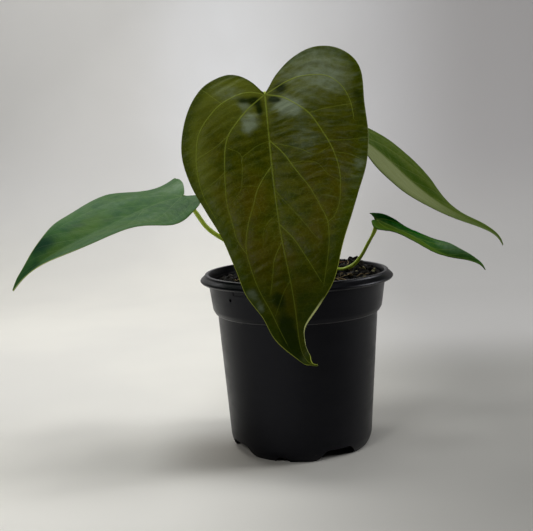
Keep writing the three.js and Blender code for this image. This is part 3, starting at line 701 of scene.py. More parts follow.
def blade_finish(name, veins, flesh, deep, warm, edge, vein, film, rim, hollow, net_share, vein_share,
                 shine, rough=0.32, lower_half=None):
    finish = Finish(name)
    groups = group_count(veins)
    main_groups = group_count(veins[:MAIN_VEINS]) if name == "leaf_front" else groups
    flat = finish.attribute("flat")
    along, across, to_margin = finish.split(flat)
    sheen_spot, shade, way = finish.split(finish.attribute("marks"))
    nearest = nearest_vein(finish, range(main_groups))
    lines = nearest.fade(1.25, 0.3)
    if main_groups < groups:
        lines = lines.most(nearest_vein(finish, range(main_groups, groups)).fade(1.6, 0.4) * 0.5)

    folds = finish.add("CombineXYZ", sockets={0: way, 1: across * 0.24})
    streaks = finish.grain(folds, 2.1, 2, 0.55) * across.fade(14, -6).most(0.62)
    net = finish.cells(finish.stretch(flat, (1, 0.75, 0)), 2.1, "DISTANCE_TO_EDGE").fade(0.085, 0.0)
    blotches = finish.grain(flat, 26, 3, 0.55)
    mottle = finish.grain(finish.stretch(flat, (1, 0.55, 0)), 5.5, 3, 0.6)
    flecks = finish.grain(flat, 0.9, 2, 0.6)

    colour = finish.mix(flesh, deep, mottle.fade(0.36, 0.68))
    browned = blotches.fade(0.34, 0.7) * 0.7 * to_margin.fade(2, 14)
    colour = finish.mix(colour, warm, browned * along.fade(0, 60).most(0.2))
    # The front blade's upturned lobes are drawn lighter and greener: partly their own tone, partly painted
    # light from above.
    if name == "leaf_front":
        lobes = along.fade(34, -8).most(across.fade(24, 44) * along.fade(84, 40))
        lobes = lobes * to_margin.fade(1, 6) * across.fade(-14, 10).most(0.5)
        colour = finish.mix(colour, tint(*LIT_LOBE_GREEN), lobes * 0.72)
    # The near half: a painted sheen on the back blade, the olive of its underside on the small blade.
    if lower_half:
        near_half = (across + mottle * 3).fade(-0.6, 6) * along.fade(104, 36).most(0.18)
        colour = finish.mix(colour, lower_half, near_half * 0.9)
    # Painted sheen: pale streaks over the upper blade, and pale patches where the sheen spots lie.
    sheen_zone = (along + across.least(0) * 0.8).fade(62, 8)
    ripple = finish.grain(finish.stretch(flat, (1, 0.7, 0)), 3.2, 2, 0.55)
    sheen_share = sheen_spot * (0.5 + ripple) + streaks * 0.35 + mottle * 0.6
    # Painted shade: dark where the shade spots lie, and below, darker towards the tip.
    shade_share = (shade + mottle * 0.3).fade(0.2, 1.0) * 0.92
    colour = finish.layered(
        colour,
        (edge, to_margin.fade(9, 1.0) * 0.5),
        (vein, nearest.fade(7, 0.5) * 0.05),
        (vein, net * net_share),
        (deep, flecks.fade(0.55, 0.8) * 0.25),
        (film, streaks.fade(0.44, 0.7) * sheen_zone * 0.09),
        (film, sheen_share.fade(0.7, 1.7) * 0.66),
        (hollow, shade_share.most(along.fade(52, 138) * 0.6)),
        (vein, lines * vein_share * along.fade(100, 0).most(0.36)),
        (rim, to_margin.fade(0.45, 0.1) * along.fade(60, 100).most(0.15)))
    if name == "leaf_front":
        rolled = across.fade(0, -1) * along.fade(114, 121) * along.fade(147, 139)
        colour = finish.mix(colour, tint(*ROLLED_EDGE), rolled * to_margin.fade(1.3, 0.7))

    dust = finish.grain(flat, 8, 4, 0.65)
    roughness = rough + dust.fade(0.35, 0.75) * 0.14 - lines * 0.05
    height = lines * 0.3 - net * 0.1 + flecks * 0.12 + streaks * along.fade(96, 30).most(0.3)
    return finish.paint(Base_Color=colour, Roughness=roughness, Normal=finish.bump(height, 0.36),
                        Specular_IOR_Level=shine)


def underside_finish(name, veins, flesh, vein):
    """The paler, duller underside, where the veins stand out."""
    finish = Finish(name)
    flat = finish.attribute("flat")
    lines = nearest_vein(finish, range(group_count(veins))).fade(2, 0.7)
    net = finish.cells(finish.stretch(flat, (1, 0.75, 0)), 2.1, "DISTANCE_TO_EDGE").fade(0.1, 0.0)
    mottle = finish.grain(flat, 7, 3, 0.6)
    darker = tuple(0.72 * c for c in flesh)
    colour = finish.layered(flesh, (darker, mottle.fade(0.35, 0.7)), (vein, net * 0.4), (vein, lines * 0.85))
    return finish.paint(Base_Color=colour, Roughness=0.5 + mottle * 0.12,
                        Normal=finish.bump(lines + net * 0.35, 0.2, 0.8), Specular_IOR_Level=0.4)


print("finishes are drawn from the flat leaf")

# %% [markdown]
# ## The four blades
#
# The front blade is old and olive, browned by the grow light, with yellowish veins. The left
# one is a cool bluish green, the two at the right are deep green. The last two are seen mostly
# edge on, so their grids can be coarser.

# %% Blades
# Each palette's sheen colour is painted sheen and its shade colour painted shade; the near half's colour is a
# painted sheen on the back blade but the underside's olive on the small one.
PALETTES = {
    "front": dict(flesh=(74, 78, 0), deep=(52, 62, 0), warm=(82, 72, 0), edge=(60, 76, 0),
                  vein=(140, 154, 52), film=(144, 158, 134), rim=(150, 160, 60), hollow=(20, 34, 0),
                  net_share=0.09, vein_share=0.7, shine=0.06),
    "left": dict(flesh=(64, 103, 50), deep=(44, 87, 46), warm=(74, 106, 34), edge=(66, 107, 50),
                 vein=(112, 140, 84), film=(130, 157, 122), rim=(170, 182, 108), hollow=(14, 54, 34),
                 net_share=0.06, vein_share=0.26, shine=0.03, rough=0.42),
    "back": dict(flesh=(66, 84, 22), deep=(53, 74, 15), warm=(70, 84, 20), edge=(76, 92, 36),
                 vein=(116, 124, 72), film=(112, 122, 84), rim=(116, 134, 80), hollow=(46, 68, 4),
                 lower_half=(118, 126, 84), net_share=0.06, vein_share=0.4, shine=0.02, rough=0.5),
    "small": dict(flesh=(42, 82, 36), deep=(32, 72, 26), warm=(48, 78, 24), edge=(48, 86, 38),
                  vein=(112, 134, 54), film=(98, 124, 94), rim=(124, 140, 60), hollow=(6, 78, 8),
                  lower_half=(64, 86, 18), net_share=0.06, vein_share=0.5, shine=0.0, rough=0.42),
}
UNDERSIDES = {"front": (142, 150, 78), "left": (128, 152, 96), "back": (118, 138, 82),
              "small": (104, 112, 34)}
UNDERSIDE_VEIN = (170, 182, 104)
BLADE_GRIDS = {"front": (230, 78), "left": (120, 52), "back": (116, 50), "small": (84, 34)}
BLADE_QUILTS = {"front": 1.0, "left": 0.6, "back": 0.6, "small": 0.6}

for name, (rows, columns) in BLADE_GRIDS.items():
    look = {key: tint(*value) if isinstance(value, tuple) else value for key, value in PALETTES[name].items()}
    pale, pale_vein = tint(*UNDERSIDES[name]), tint(*UNDERSIDE_VEIN)
    above = blade_finish(f"leaf_{name}", VEINS[name], **look)
    below = underside_finish(f"leaf_{name}_underside", VEINS[name], pale, pale_vein)
    sheet = blade_sheet(name, rows, columns, BLADE_QUILTS[name])
    finish_piece(sheet, f"leaf_{name}", [above, below], [f"blade_{name}"])

# %% [markdown]
# ## Stalks
#
# A leaf stalk is a firm round rod, thickest where it wraps the crown, with a short swollen
# joint, the geniculum, just under the blade, which turns the leaf to the light. A curve with a
# round bevel makes such a rod: each control point carries its own thickness, so the swelling
# is simply a few thicker points. The curve is then made a mesh and capped.

# %% Stalks
STALK_SAMPLES = 10
JOINT_LENGTH = 7.0


def rod(line, radii, sides=18):
    """A closed round rod along a line of points in millimetres."""
    start_mesh()
    bpy.ops.curve.primitive_nurbs_path_add()
    piece = bpy.context.object
    curve = piece.data
    curve.splines.clear()
    spline = curve.splines.new("POLY")
    spline.points.add(len(line) - 1)
    for point, at, radius in zip(spline.points, line, radii):
        point.co = (*(c * MM for c in at), 1)
        point.radius = radius
    curve.dimensions = "3D"
    curve.bevel_depth = MM
    curve.bevel_resolution = sides // 4
    curve.use_fill_caps = True
    curve.twist_mode = "MINIMUM"
    bpy.ops.object.convert(target="MESH")
    piece = bpy.context.object
    bpy.ops.object.mode_set(mode="EDIT")
    bpy.ops.mesh.select_all(action="SELECT")
    bpy.ops.mesh.remove_doubles(threshold=0.00001)
    bpy.ops.mesh.normals_make_consistent(inside=False)
    bpy.ops.object.mode_set(mode="OBJECT")
    bpy.ops.object.shade_smooth()
    points = get_points(piece) / MM
    line = np.asarray(line, float)
    walked = walked_along(line)
    closest = np.argmin(np.linalg.norm(points[:, None] - line[None], axis=2), axis=1)
    give_attribute(piece, "from_tip", walked[-1] - walked[closest])
    give_attribute(piece, "from_base", walked[closest])
    return piece


def stalk(blade):
    line = smooth_line([*blade["stalk"], blade["junction"]], STALK_SAMPLES)
    walked = walked_along(line)
    s = walked / walked[-1]
    bottom, top = blade["stalk_radius"]
    to_tip = walked[-1] - walked
    joint = 1 + 0.3 * np.exp(-((to_tip - 5) / 3.6) ** 2) - 0.08 * np.exp(-((to_tip - 11) / 2) ** 2)
    foot = 1 + 0.35 * np.exp(-walked / 5)
    radii = (bottom + (top - bottom) * np.minimum(1, s / 0.62)) * joint * foot
    return rod(line, radii)


def stalk_finish(name, green, pale):
    finish = Finish(name)
    at = finish.place()
    streaks = finish.grain(finish.stretch(at, (1, 1, 0.12)), 1.1, 3, 0.6)
    blotches = finish.grain(at, 6, 2, 0.5)
    from_tip = finish.number("from_tip")
    from_base = finish.number("from_base")
    colour = finish.layered(
        green,
        (pale, streaks.fade(0.35, 0.75) * 0.5),
        (tint(92, 82, 30), blotches.fade(0.6, 0.8) * 0.25),
        (pale, from_tip.fade(JOINT_LENGTH + 3, 2) * 0.55),
        (tint(116, 66, 46), from_base.fade(9, 0) * 0.6))
    return finish.paint(Base_Color=colour, Roughness=0.38 + streaks * 0.14,
                        Normal=finish.bump(streaks, 0.12, 0.6), Specular_IOR_Level=0.5)


stalk_green = stalk_finish("stalk_green", tint(180, 208, 34), tint(208, 224, 88))
for name, blade in BLADES.items():
    finish_piece(stalk(blade), f"stalk_{name}", [stalk_green], [f"petiole_{name}"])

# %% [markdown]
# ## The pot
#
# A nursery pot is blown and pressed from thin black plastic: a drained foot, a slightly
# flaring wall, a step where the collar starts, and a rolled lip. One profile turned round the
# axis makes it, as it would be drawn in a mould shop. The profile is drawn point by point from
# a single vertex by extrusion, then spun. Every corner is rounded first, since no moulded edge
# is sharp and the rounded edges catch the light.

# %% Pot profile
POT_HEIGHT, WALL = 104, 1.4
FOOT_RADIUS, HEEL_RADIUS, HEEL_HEIGHT = 40.3, 42.6, 8.6
STEP_RADIUS, STEP_HEIGHT = 47.6, 80
COLLAR_RADIUS, COLLAR_HEIGHT, COLLAR_TOP_RADIUS = 50.3, 83, 52.4
LIP_HEIGHT, LIP_RADIUS, MOUTH_RADIUS = 98.9, 57.2, 51.5
FLOOR_HEIGHT, PAD_RADIUS = 6, 14
POT_STEPS = 200

POT_CORNERS = [
    (0, 0, 0), (PAD_RADIUS, 0, 0.6), (PAD_RADIUS + 2.4, FLOOR_HEIGHT - WALL, 1),
    (FOOT_RADIUS - 2.9, FLOOR_HEIGHT - WALL, 0.5), (FOOT_RADIUS - 2.5, 0, 0.4), (FOOT_RADIUS, 0, 0.7),
    (FOOT_RADIUS + 1.4, 2.6, 1.2), (HEEL_RADIUS, 5.8, 1.2), (STEP_RADIUS, STEP_HEIGHT, 0.35),
    (STEP_RADIUS + 1.3, STEP_HEIGHT + 0.5, 0.3), (COLLAR_RADIUS, COLLAR_HEIGHT, 0.9),
    (COLLAR_TOP_RADIUS, LIP_HEIGHT, 0.5), (LIP_RADIUS - 0.9, LIP_HEIGHT + 0.1, 0.6),
    (LIP_RADIUS, LIP_HEIGHT + 1.2, 0.8), (LIP_RADIUS - 0.4, LIP_HEIGHT + 2.1, 0.5),
    (LIP_RADIUS - 2.7, POT_HEIGHT - 1.1, 0.5), (LIP_RADIUS - 3, POT_HEIGHT - 0.1, 0.4),
    (MOUTH_RADIUS + 0.8, POT_HEIGHT, 0.6), (MOUTH_RADIUS, POT_HEIGHT - 2.4, 0.8),
    (COLLAR_RADIUS - WALL, COLLAR_HEIGHT + 0.4, 1), (STEP_RADIUS - WALL, STEP_HEIGHT + 0.3, 1),
    (HEEL_RADIUS - WALL, HEEL_HEIGHT, 1.5), (HEEL_RADIUS - WALL - 1.8, FLOOR_HEIGHT, 1),
    (PAD_RADIUS + 1.2, FLOOR_HEIGHT, 0.8), (PAD_RADIUS - 0.9, WALL, 0.8), (0, WALL, 0),
]


def rounded(corners, arc_points=5):
    """A profile whose corners (radius, height, rounding) are eased by short curves."""
    made = [corners[0][:2]]
    for before, here, after in zip(corners, corners[1:], corners[2:]):
        p, q, r = (np.array(c[:2], float) for c in (before, here, after))
        ease = min(here[2], 0.45 * np.linalg.norm(p - q), 0.45 * np.linalg.norm(r - q))
        start, end = q + ease * (p - q) / np.linalg.norm(p - q), q + ease * (r - q) / np.linalg.norm(r - q)
        for f in np.linspace(0, 1, arc_points):
            made.append(tuple((1 - f) ** 2 * start + 2 * f * (1 - f) * q + f * f * end))
    made.append(corners[-1][:2])
    return made


def turned(profile, steps):
    """Draws a profile of (radius, height) by extruding one vertex, and spins it round the axis."""
    start_mesh()
    bpy.ops.mesh.primitive_plane_add(size=MM)
    piece = bpy.context.object
    bpy.ops.object.mode_set(mode="EDIT")
    bpy.ops.mesh.select_all(action="SELECT")
    bpy.ops.mesh.merge(type="CENTER")
    bpy.ops.transform.translate(value=(profile[0][0] * MM, 0, profile[0][1] * MM))
    for (r, z), (next_r, next_z) in zip(profile, profile[1:]):
        step = ((next_r - r) * MM, 0, (next_z - z) * MM)
        bpy.ops.mesh.extrude_region_move(TRANSFORM_OT_translate={"value": step})
    bpy.ops.mesh.select_all(action="SELECT")
    bpy.ops.mesh.spin(steps=steps, angle=2 * math.pi, center=(0, 0, 0), axis=(0, 0, 1))
    bpy.ops.mesh.select_all(action="SELECT")
    bpy.ops.mesh.remove_doubles(threshold=0.00002)
    bpy.ops.mesh.normals_make_consistent(inside=False)
    bpy.ops.object.mode_set(mode="OBJECT")
    return piece


pot_profile = rounded(POT_CORNERS)
pot = turned(pot_profile, POT_STEPS)
print("the pot's profile has", len(pot_profile), "points, the pot", len(pot.data.polygons), "faces")

# %% [markdown]
# Water has to leave the pot: it runs through eight round drains in the floor and out under
# the arches of the foot, which come in two sizes. A small hole at each side of the collar
# takes a label peg. Such openings could be drawn into the mesh, but a turned body has no edges
# where they run, so booleans cut them with simple solids.

# %% Pot openings
WIDE_ARCHES = dict(first=30, half=22, top_half=9, height=6.2)
NARROW_ARCHES = dict(first=-16, half=7, top_half=2.5, height=2.8)
ARCH_DEPTH = 14
DRAIN_COUNT, DRAIN_RADIUS, DRAIN_RING = 8, 3.5, 27
PEG_HOLES, PEG_HOLE_RADIUS, PEG_HOLE_HEIGHT = (-136, 44), 0.95, 93


def place_cutter(piece, tilt, spin, at):
    turn = Matrix.Rotation(math.radians(spin), 4, "Z") @ Matrix.Translation(Vector(at) * MM)
    piece.data.transform(turn @ Matrix.Rotation(math.radians(tilt), 4, "Y"))


def cut(body, cutter):
    apply_modifier(body, "BOOLEAN", operation="DIFFERENCE", solver="EXACT", object=cutter)
    bpy.data.objects.remove(cutter)


def drill(body, sides, radius, depth, tilt, spin, at):
    """Cuts a round hole; the drill is tilted first, then carried round the axis."""
    start_mesh()
    bpy.ops.mesh.primitive_cylinder_add(vertices=sides, radius=radius * MM, depth=depth * MM)
    bit = bpy.context.object
    place_cutter(bit, tilt, spin, at)
    cut(body, bit)


def arch_cutter(spin, half, top_half, height):
    """A prism under the foot, whose flanks ease from the ground up into a flat top."""
    wide, narrow = (FOOT_RADIUS * math.sin(math.radians(angle)) for angle in (half, top_half))
    f = np.linspace(0, 1, 12)
    away = wide - (wide - narrow) * (1.35 * f * (1 - f) ** 2 + 1.65 * f * f * (1 - f) + f ** 3)
    rise = height * (3 * f * f - 2 * f ** 3)
    flank = [(0, wide, -1), *((0, y, z) for y, z in zip(away, rise))]
    section = np.array(flank + [(0, -y, z) for _, y, z in reversed(flank)])
    start_mesh()
    bpy.ops.mesh.primitive_circle_add(vertices=len(section), fill_type="NGON")
    piece = bpy.context.object
    set_points(piece, section * MM)
    apply_modifier(piece, "SOLIDIFY", thickness=ARCH_DEPTH * MM, offset=0)
    place_cutter(piece, 0, spin, (FOOT_RADIUS, 0, 0))
    return piece


for arches in (WIDE_ARCHES, NARROW_ARCHES):
    size = {key: value for key, value in arches.items() if key != "first"}
    for k in range(4):
        cut(pot, arch_cutter(arches["first"] + 90 * k, **size))
for k in range(DRAIN_COUNT):
    drill(pot, 32, DRAIN_RADIUS, 10, 0, 360 / DRAIN_COUNT * k, (DRAIN_RING, 0, 5))
for spin in PEG_HOLES:
    drill(pot, 24, PEG_HOLE_RADIUS, 8, 90, spin, (COLLAR_RADIUS, 0, PEG_HOLE_HEIGHT))
print("after cutting, the pot has", len(pot.data.polygons), "faces")

# %% [markdown]
# The mould also left a small raised frame under the lip, where a label can be pressed. It
# stays bare. A plane is inset and its middle taken out, and the remaining ring is extruded
# into a low ridge that follows the collar's curve.

# %% Raised frame under the lip
FRAME_SPIN, FRAME_WIDTH, FRAME_HEIGHT, FRAME_MIDDLE = -126.6, 11.5, 3.0, 97.0
OPEN_ACROSS, OPEN_UP, HALF_RIDGE = 0.9, 0.74, 0.45


def collar_radius(z):
    share = (z - COLLAR_HEIGHT) / (LIP_HEIGHT - COLLAR_HEIGHT)
    return COLLAR_RADIUS + (COLLAR_TOP_RADIUS - COLLAR_RADIUS) * share


def label_frame():
    piece = new_grid(24, 8)
    bpy.ops.object.mode_set(mode="EDIT")
    bpy.ops.mesh.select_all(action="DESELECT")
    bpy.ops.object.mode_set(mode="OBJECT")
    for face in piece.data.polygons:
        x, y, _ = face.center
        face.select = abs(x) < OPEN_ACROSS and abs(y) < OPEN_UP
    bpy.ops.object.mode_set(mode="EDIT")
    bpy.ops.mesh.delete(type="FACE")
    bpy.ops.object.mode_set(mode="OBJECT")
    apply_modifier(piece, "SOLIDIFY", thickness=1, offset=0)
    apply_modifier(piece, "BEVEL", width=0.03, segments=2, limit_method="ANGLE")
    points = get_points(piece)
    across = points[:, 0] * FRAME_WIDTH / 2
    z = FRAME_MIDDLE + points[:, 1] * FRAME_HEIGHT / 2
    radius = collar_radius(z) + points[:, 2] * HALF_RIDGE
    angle = math.radians(FRAME_SPIN) + across / COLLAR_TOP_RADIUS
    set_points(piece, np.stack([radius * np.cos(angle), radius * np.sin(angle), z], -1) * MM)
    return piece


pot = joined([pot, label_frame()])
bpy.ops.object.shade_smooth_by_angle(angle=math.radians(32))
print("the pot with its frame has", len(pot.data.polygons), "faces")

# %% [markdown]
# ## Black moulded plastic
#
# The plastic is nearly black and satin, never glossy: the mould was blasted, so the surface
# has a faint orange peel that breaks reflections up. Handling leaves fine scratches that run
# mostly level, and a little dried dust clings to the lip and near the foot. Those change the
# roughness more than the colour, which is how real wear reads on black. The edges of the step
# and of the lip carry a thin painted highlight.

# %% Pot finish
def pot_finish():
    finish = Finish("pot_plastic")
    at = finish.place()
    _, _, height = finish.split(at)
    peel = finish.grain(at, 0.55, 2, 0.6)
    flow = finish.grain(finish.stretch(at, (1, 1, 2.2)), 16, 4, 0.55)
    scratches = finish.grain(finish.stretch(at, (0.25, 0.25, 6)), 1.2, 2, 0.7).fade(0.66, 0.8)
    dust = finish.grain(at, 2.2, 5, 0.75).fade(0.5, 0.85)
    low = height.fade(16, 0)
    rim = height.fade(POT_HEIGHT - 3, POT_HEIGHT)
    dirt = dust * (0.06 + low * 0.2 + rim * 0.3)
    specks = finish.cells(at, 3.4).fade(0.11, 0.05) * (low * 0.3 + rim)
    # Painted highlight: thin pale lines along the edges of the step and of the lip.
    step_highlight = abs(height - STEP_HEIGHT - 0.5).fade(0.55, 0.15)
    lip_highlight = abs(height - LIP_HEIGHT - 0.6).fade(0.5, 0.15)
    colour = finish.layered(
        tint(3, 3, 6),
        (tint(8, 8, 12), flow.fade(0.3, 0.75)),
        (tint(92, 88, 80), dirt * 0.3),
        (tint(112, 112, 112), step_highlight.most(lip_highlight * flow.fade(0.4, 0.6)) * 0.3),
        (tint(150, 138, 112), specks * 0.5))
    roughness = 0.33 + flow.fade(0.3, 0.8) * 0.1 + dirt * 0.35 - scratches * 0.06
    bumps = peel * 0.5 - scratches * 0.35 + dirt * 0.6
    return finish.paint(Base_Color=colour, Roughness=roughness, Normal=finish.bump(bumps, 0.06, 0.7),
                        Specular_IOR_Level=0.2, Specular_Tint=(0.86, 0.88, 1.0))


finish_piece(pot, "nursery_pot", [pot_finish()], ["pot"])

# %% [markdown]
# ## The potting mix
#
# The mix is peat, fine bark and a little perlite. Its bed is one turned body whose top is
# fine enough to be raised into lumps by layered noise, over the same mounds as the frame's.
# A bump map alone would leave it smooth in outline, and it is seen at a very low angle.

# %% Soil bed
SOIL_LEVEL, SOIL_TILT = 99, (0.042, 0.03)
SOIL_RADIUS, SOIL_SHOULDER, SOIL_CLEARANCE = 50.3, 94.4, 0.5
SOIL_MOUNDS = [((34, 18), 5, 9), ((4, 4), 2.2, 13), ((-22, -30), 1.4, 12)]
SOIL_STEPS, SOIL_RINGS = 190, 74


def soil_height(x, y):
    """The even surface of the mix, shared with the frame."""
    height = SOIL_LEVEL + SOIL_TILT[0] * x + SOIL_TILT[1] * y
    for (mx, my), tall, spread in SOIL_MOUNDS:
        height = height + tall * np.exp(-((x - mx) ** 2 + (y - my) ** 2) / spread ** 2)
    height = height + 0.5 * np.sin(0.61 * x + 0.9) * np.sin(0.53 * y - 0.4)
    return height + 0.45 * np.sin(1.13 * x - 0.7 * y) * np.cos(0.87 * y + 0.31 * x)


def soil_bed():
    inside = WALL + SOIL_CLEARANCE
    profile = [(0, WALL + 0.3), (PAD_RADIUS - 1.3, WALL + 0.3), (PAD_RADIUS + 0.8, FLOOR_HEIGHT + 0.3),
               (HEEL_RADIUS - inside - 1.9, FLOOR_HEIGHT + 0.3), (HEEL_RADIUS - inside, HEEL_HEIGHT + 0.3),
               (STEP_RADIUS - inside, STEP_HEIGHT + 0.2), (COLLAR_RADIUS - inside, COLLAR_HEIGHT + 1),
               (SOIL_RADIUS, SOIL_SHOULDER)]
    profile += [(SOIL_RADIUS * (1 - k / SOIL_RINGS), SOIL_LEVEL) for k in range(SOIL_RINGS)]
    profile.append((0, SOIL_LEVEL))
    piece = turned(profile, SOIL_STEPS)
    points = get_points(piece) / MM
    top = np.abs(points[:, 2] - SOIL_LEVEL) < 0.01
    for i in np.flatnonzero(top):
        x, y = points[i, :2]
        rough = noise.fractal(Vector((x, y, 0)) / 3.1, 0.8, 2.1, 4) * 0.75
        clods = abs(noise.noise(Vector((x, y, 9)) / 4.6)) * 1.3
        points[i, 2] = soil_height(x, y) + rough + clods - 0.5
    set_points(piece, points * MM)
    bpy.ops.object.shade_smooth()
    return piece


def soil_finish():
    finish = Finish("potting_mix")
    at = finish.place()
    crumbs = finish.cells(at, 1.6)
    fibres = finish.grain(finish.stretch(at, (1, 3, 1)), 1.4, 4, 0.7)
    damp = finish.grain(at, 12, 3, 0.5)
    flecks = finish.cells(at, 2.6).fade(0.16, 0.08)
    colour = finish.layered(
        tint(14, 11, 9),
        (tint(30, 23, 17), crumbs.fade(0.15, 0.7)),
        (tint(52, 38, 24), fibres.fade(0.58, 0.8) * 0.6),
        (tint(9, 8, 8), damp.fade(0.4, 0.7) * 0.6),
        (tint(150, 132, 96), flecks * 0.4))
    height = crumbs * 0.8 + fibres * 0.6
    roughness = 0.86 + fibres * 0.1 - damp.fade(0.5, 0.8) * 0.2
    return finish.paint(Base_Color=colour, Roughness=roughness, Normal=finish.bump(height, 0.6, 0.8),
                        Specular_IOR_Level=0.3)


finish_piece(soil_bed(), "soil_bed", [soil_finish()], ["soil"])

# %% [markdown]
# Loose matter lies on the bed: dark crumbs, angular chips of bark and pale perlite. Each kind
# is modelled a few times as one small rough grain, and copied by a rule with a fixed seed, so
# that the bed looks the same every time. A particle system would scatter them too, but its
# copies are harder to keep in one plain mesh.

# %% Loose matter on the soil
random = np.random.default_rng(11)
CROWN_AT, CLEAR_OF_CROWN = (3, 4), 8.5
SCATTER_REACH = 47.5


def taken_apart(piece):
    """A model's points and faces, its object being needed no longer."""
    points = get_points(piece)
    faces = [tuple(face.vertices) for face in piece.data.polygons]
    bpy.data.objects.remove(piece)
    return points, faces


def grain_model(seed, flat, rough):
    """One rough lump of unit size."""
    start_mesh()
    bpy.ops.mesh.primitive_ico_sphere_add(subdivisions=2, radius=1)
    piece = bpy.context.object
    for vertex in piece.data.vertices:
        push = noise.fractal(vertex.co * 1.3 + Vector((seed * 7.1, 0, 0)), 0.9, 2, 3)
        vertex.co *= 1 + rough * push
        vertex.co.z *= flat
    return taken_apart(piece)


def chip_model(seed):
    """One angular sliver: a box whose corners are pulled about and whose edges are bevelled."""
    start_mesh()
    bpy.ops.mesh.primitive_cube_add(size=2)
    piece = bpy.context.object
    pull = np.random.default_rng(seed).uniform(-0.35, 0.35, (8, 3))
    set_points(piece, get_points(piece) * (1, 0.5, 0.22) + pull * (1, 0.6, 0.3))
    apply_modifier(piece, "BEVEL", width=0.08, segments=1, limit_method="ANGLE")
    return taken_apart(piece)


def scattered(name, models, spots):
    """Copies of the models, each spot being (x, y, lift, size, stretch), joined in one mesh."""
    all_points, all_faces, tones, count = [], [], [], 0
    for k, (x, y, lift, size, stretch) in enumerate(spots):
        points, faces = models[k % len(models)]
        turn = Matrix.Rotation(random.uniform(0, 6.3), 3, "Z")
        turn = turn @ Matrix.Rotation(random.uniform(-0.5, 0.5), 3, "X")
        turn = turn @ Matrix.Rotation(random.uniform(-0.5, 0.5), 3, "Y")
        placed = (points * (size * stretch, size, size)) @ np.array(turn).T
        placed += (x, y, float(soil_height(x, y)) + lift * size)
        all_points.append(placed)
        all_faces += [tuple(i + count for i in face) for face in faces]
        tones += [random.uniform()] * len(points)
        count += len(points)
    mesh = bpy.data.meshes.new(name)
    mesh.from_pydata((np.vstack(all_points) * MM).tolist(), [], all_faces)
    piece = bpy.data.objects.new(name, mesh)
    bpy.context.scene.collection.objects.link(piece)
    give_attribute(piece, "tone", tones)
    return piece


def spots(count, sizes, lift, stretch):
    """Random places on the soil, clear of the crown."""
    made = []
    while len(made) < count:
        away, angle = SCATTER_REACH * math.sqrt(random.uniform()), random.uniform(0, 2 * math.pi)
        x, y = away * math.cos(angle), away * math.sin(angle)
        if math.hypot(x - CROWN_AT[0], y - CROWN_AT[1]) < CLEAR_OF_CROWN:
            continue
        size = sizes[0] + (sizes[1] - sizes[0]) * random.uniform() ** 2
        made.append((x, y, lift, size, random.uniform(*stretch)))
    return made


# The few grains that the picture shows one by one: x, y, lift, size and stretch
PEAT_LUMPS = [(37.5, 20, 0.2, 2.7, 1.1), (34, 21, 0.2, 2.3, 1), (40, 16, 0.2, 2, 1), (31, 23, 0.2, 2.1, 1.1),
              (42, 11, 0.2, 1.6, 1), (36, 16.5, 0.3, 1.8, 1.2), (39, 22.5, 0.1, 1.7, 1)]
LARGE_CHIPS = [(29.8, 10, 0.5, 3.0, 1.3), (24, -6, 0.4, 2.4, 1.5), (-40, -12, 0.6, 2.6, 1.2),
               (-43, -6, 0.5, 2.2, 1)]
SEEN_PERLITE = [(41, 10, 0.5, 1.2, 1), (45.5, -2, 0.6, 0.9, 1), (47, 7, 0.5, 0.8, 1)]

lumps = [grain_model(seed, 0.8, 0.5) for seed in range(5)]
crumbs = scattered("peat_crumbs", lumps, PEAT_LUMPS + spots(560, (0.45, 2.0), 0.25, (0.8, 1.5)))
slivers = [chip_model(seed) for seed in range(6)]
chips = scattered("bark_chips", slivers, LARGE_CHIPS + spots(90, (0.9, 3.0), 0.3, (0.9, 1.7)))
grains = [grain_model(seed + 20, 0.9, 0.6) for seed in range(4)]
perlite = scattered("perlite_grains", grains, SEEN_PERLITE + spots(46, (0.5, 1.5), 0.3, (0.9, 1.2)))
print("faces of loose matter:", [len(piece.data.polygons) for piece in (crumbs, chips, perlite)])

# %% [markdown]
# No two grains have the same colour. Each one carries a random tone in its mesh, and one
# finish, made once for each kind, turns that tone and a little noise into dark or light.

# %% Finishes of the loose matter
def loose_finish(name, dark, light, rough, size, start):
    """Dark pieces and light ones; the higher the start, the fewer are light."""
    finish = Finish(name)
    at = finish.place()
    tone = finish.number("tone")
    grain = finish.grain(at, size, 4, 0.7)
    colour = finish.mix(dark, light, (tone * 0.6 + grain * 0.7).fade(start, 1.05))
    return finish.paint(Base_Color=colour, Roughness=rough, Normal=finish.bump(grain, 0.3, 0.8),
                        Specular_IOR_Level=0.3)


LOOSE = [(crumbs, "peat_crumbs", "peat", tint(7, 6, 4), tint(30, 24, 14), 0.92, 0.8, 0.5),
         (chips, "bark_chips", "bark", tint(12, 9, 5), tint(132, 110, 64), 0.85, 0.7, 0.62),
         (perlite, "perlite_grains", "perlite", tint(110, 100, 66), tint(210, 202, 160), 0.9, 0.5, 0.3)]
for piece, name, material, *look in LOOSE:
    finish_piece(piece, name, [loose_finish(material, *look)])

# %% [markdown]
# Thin roots break up the grains. They are rods again, only finer, each wandering a short way
# just above the soil, and cut off where it would meet the pot.

# %% Roots and fibres
ROOT_STEPS = 9
FIBRE_COUNT, FIBRE_REACH, FIBRE_END = 34, 45, 48.5
FIBRE_LENGTHS, FIBRE_RADIUS = (7, 20), 0.32


def root_line(x, y, heading, length):
    made = []
    for k in range(ROOT_STEPS + 1):
        made.append((x, y, float(soil_height(x, y)) + 0.75 + 0.7 * math.sin(math.pi * k / ROOT_STEPS)))
        heading += random.uniform(-0.55, 0.55)
        x += length / ROOT_STEPS * math.cos(heading)
        y += length / ROOT_STEPS * math.sin(heading)
    return smooth_line(made, 3)


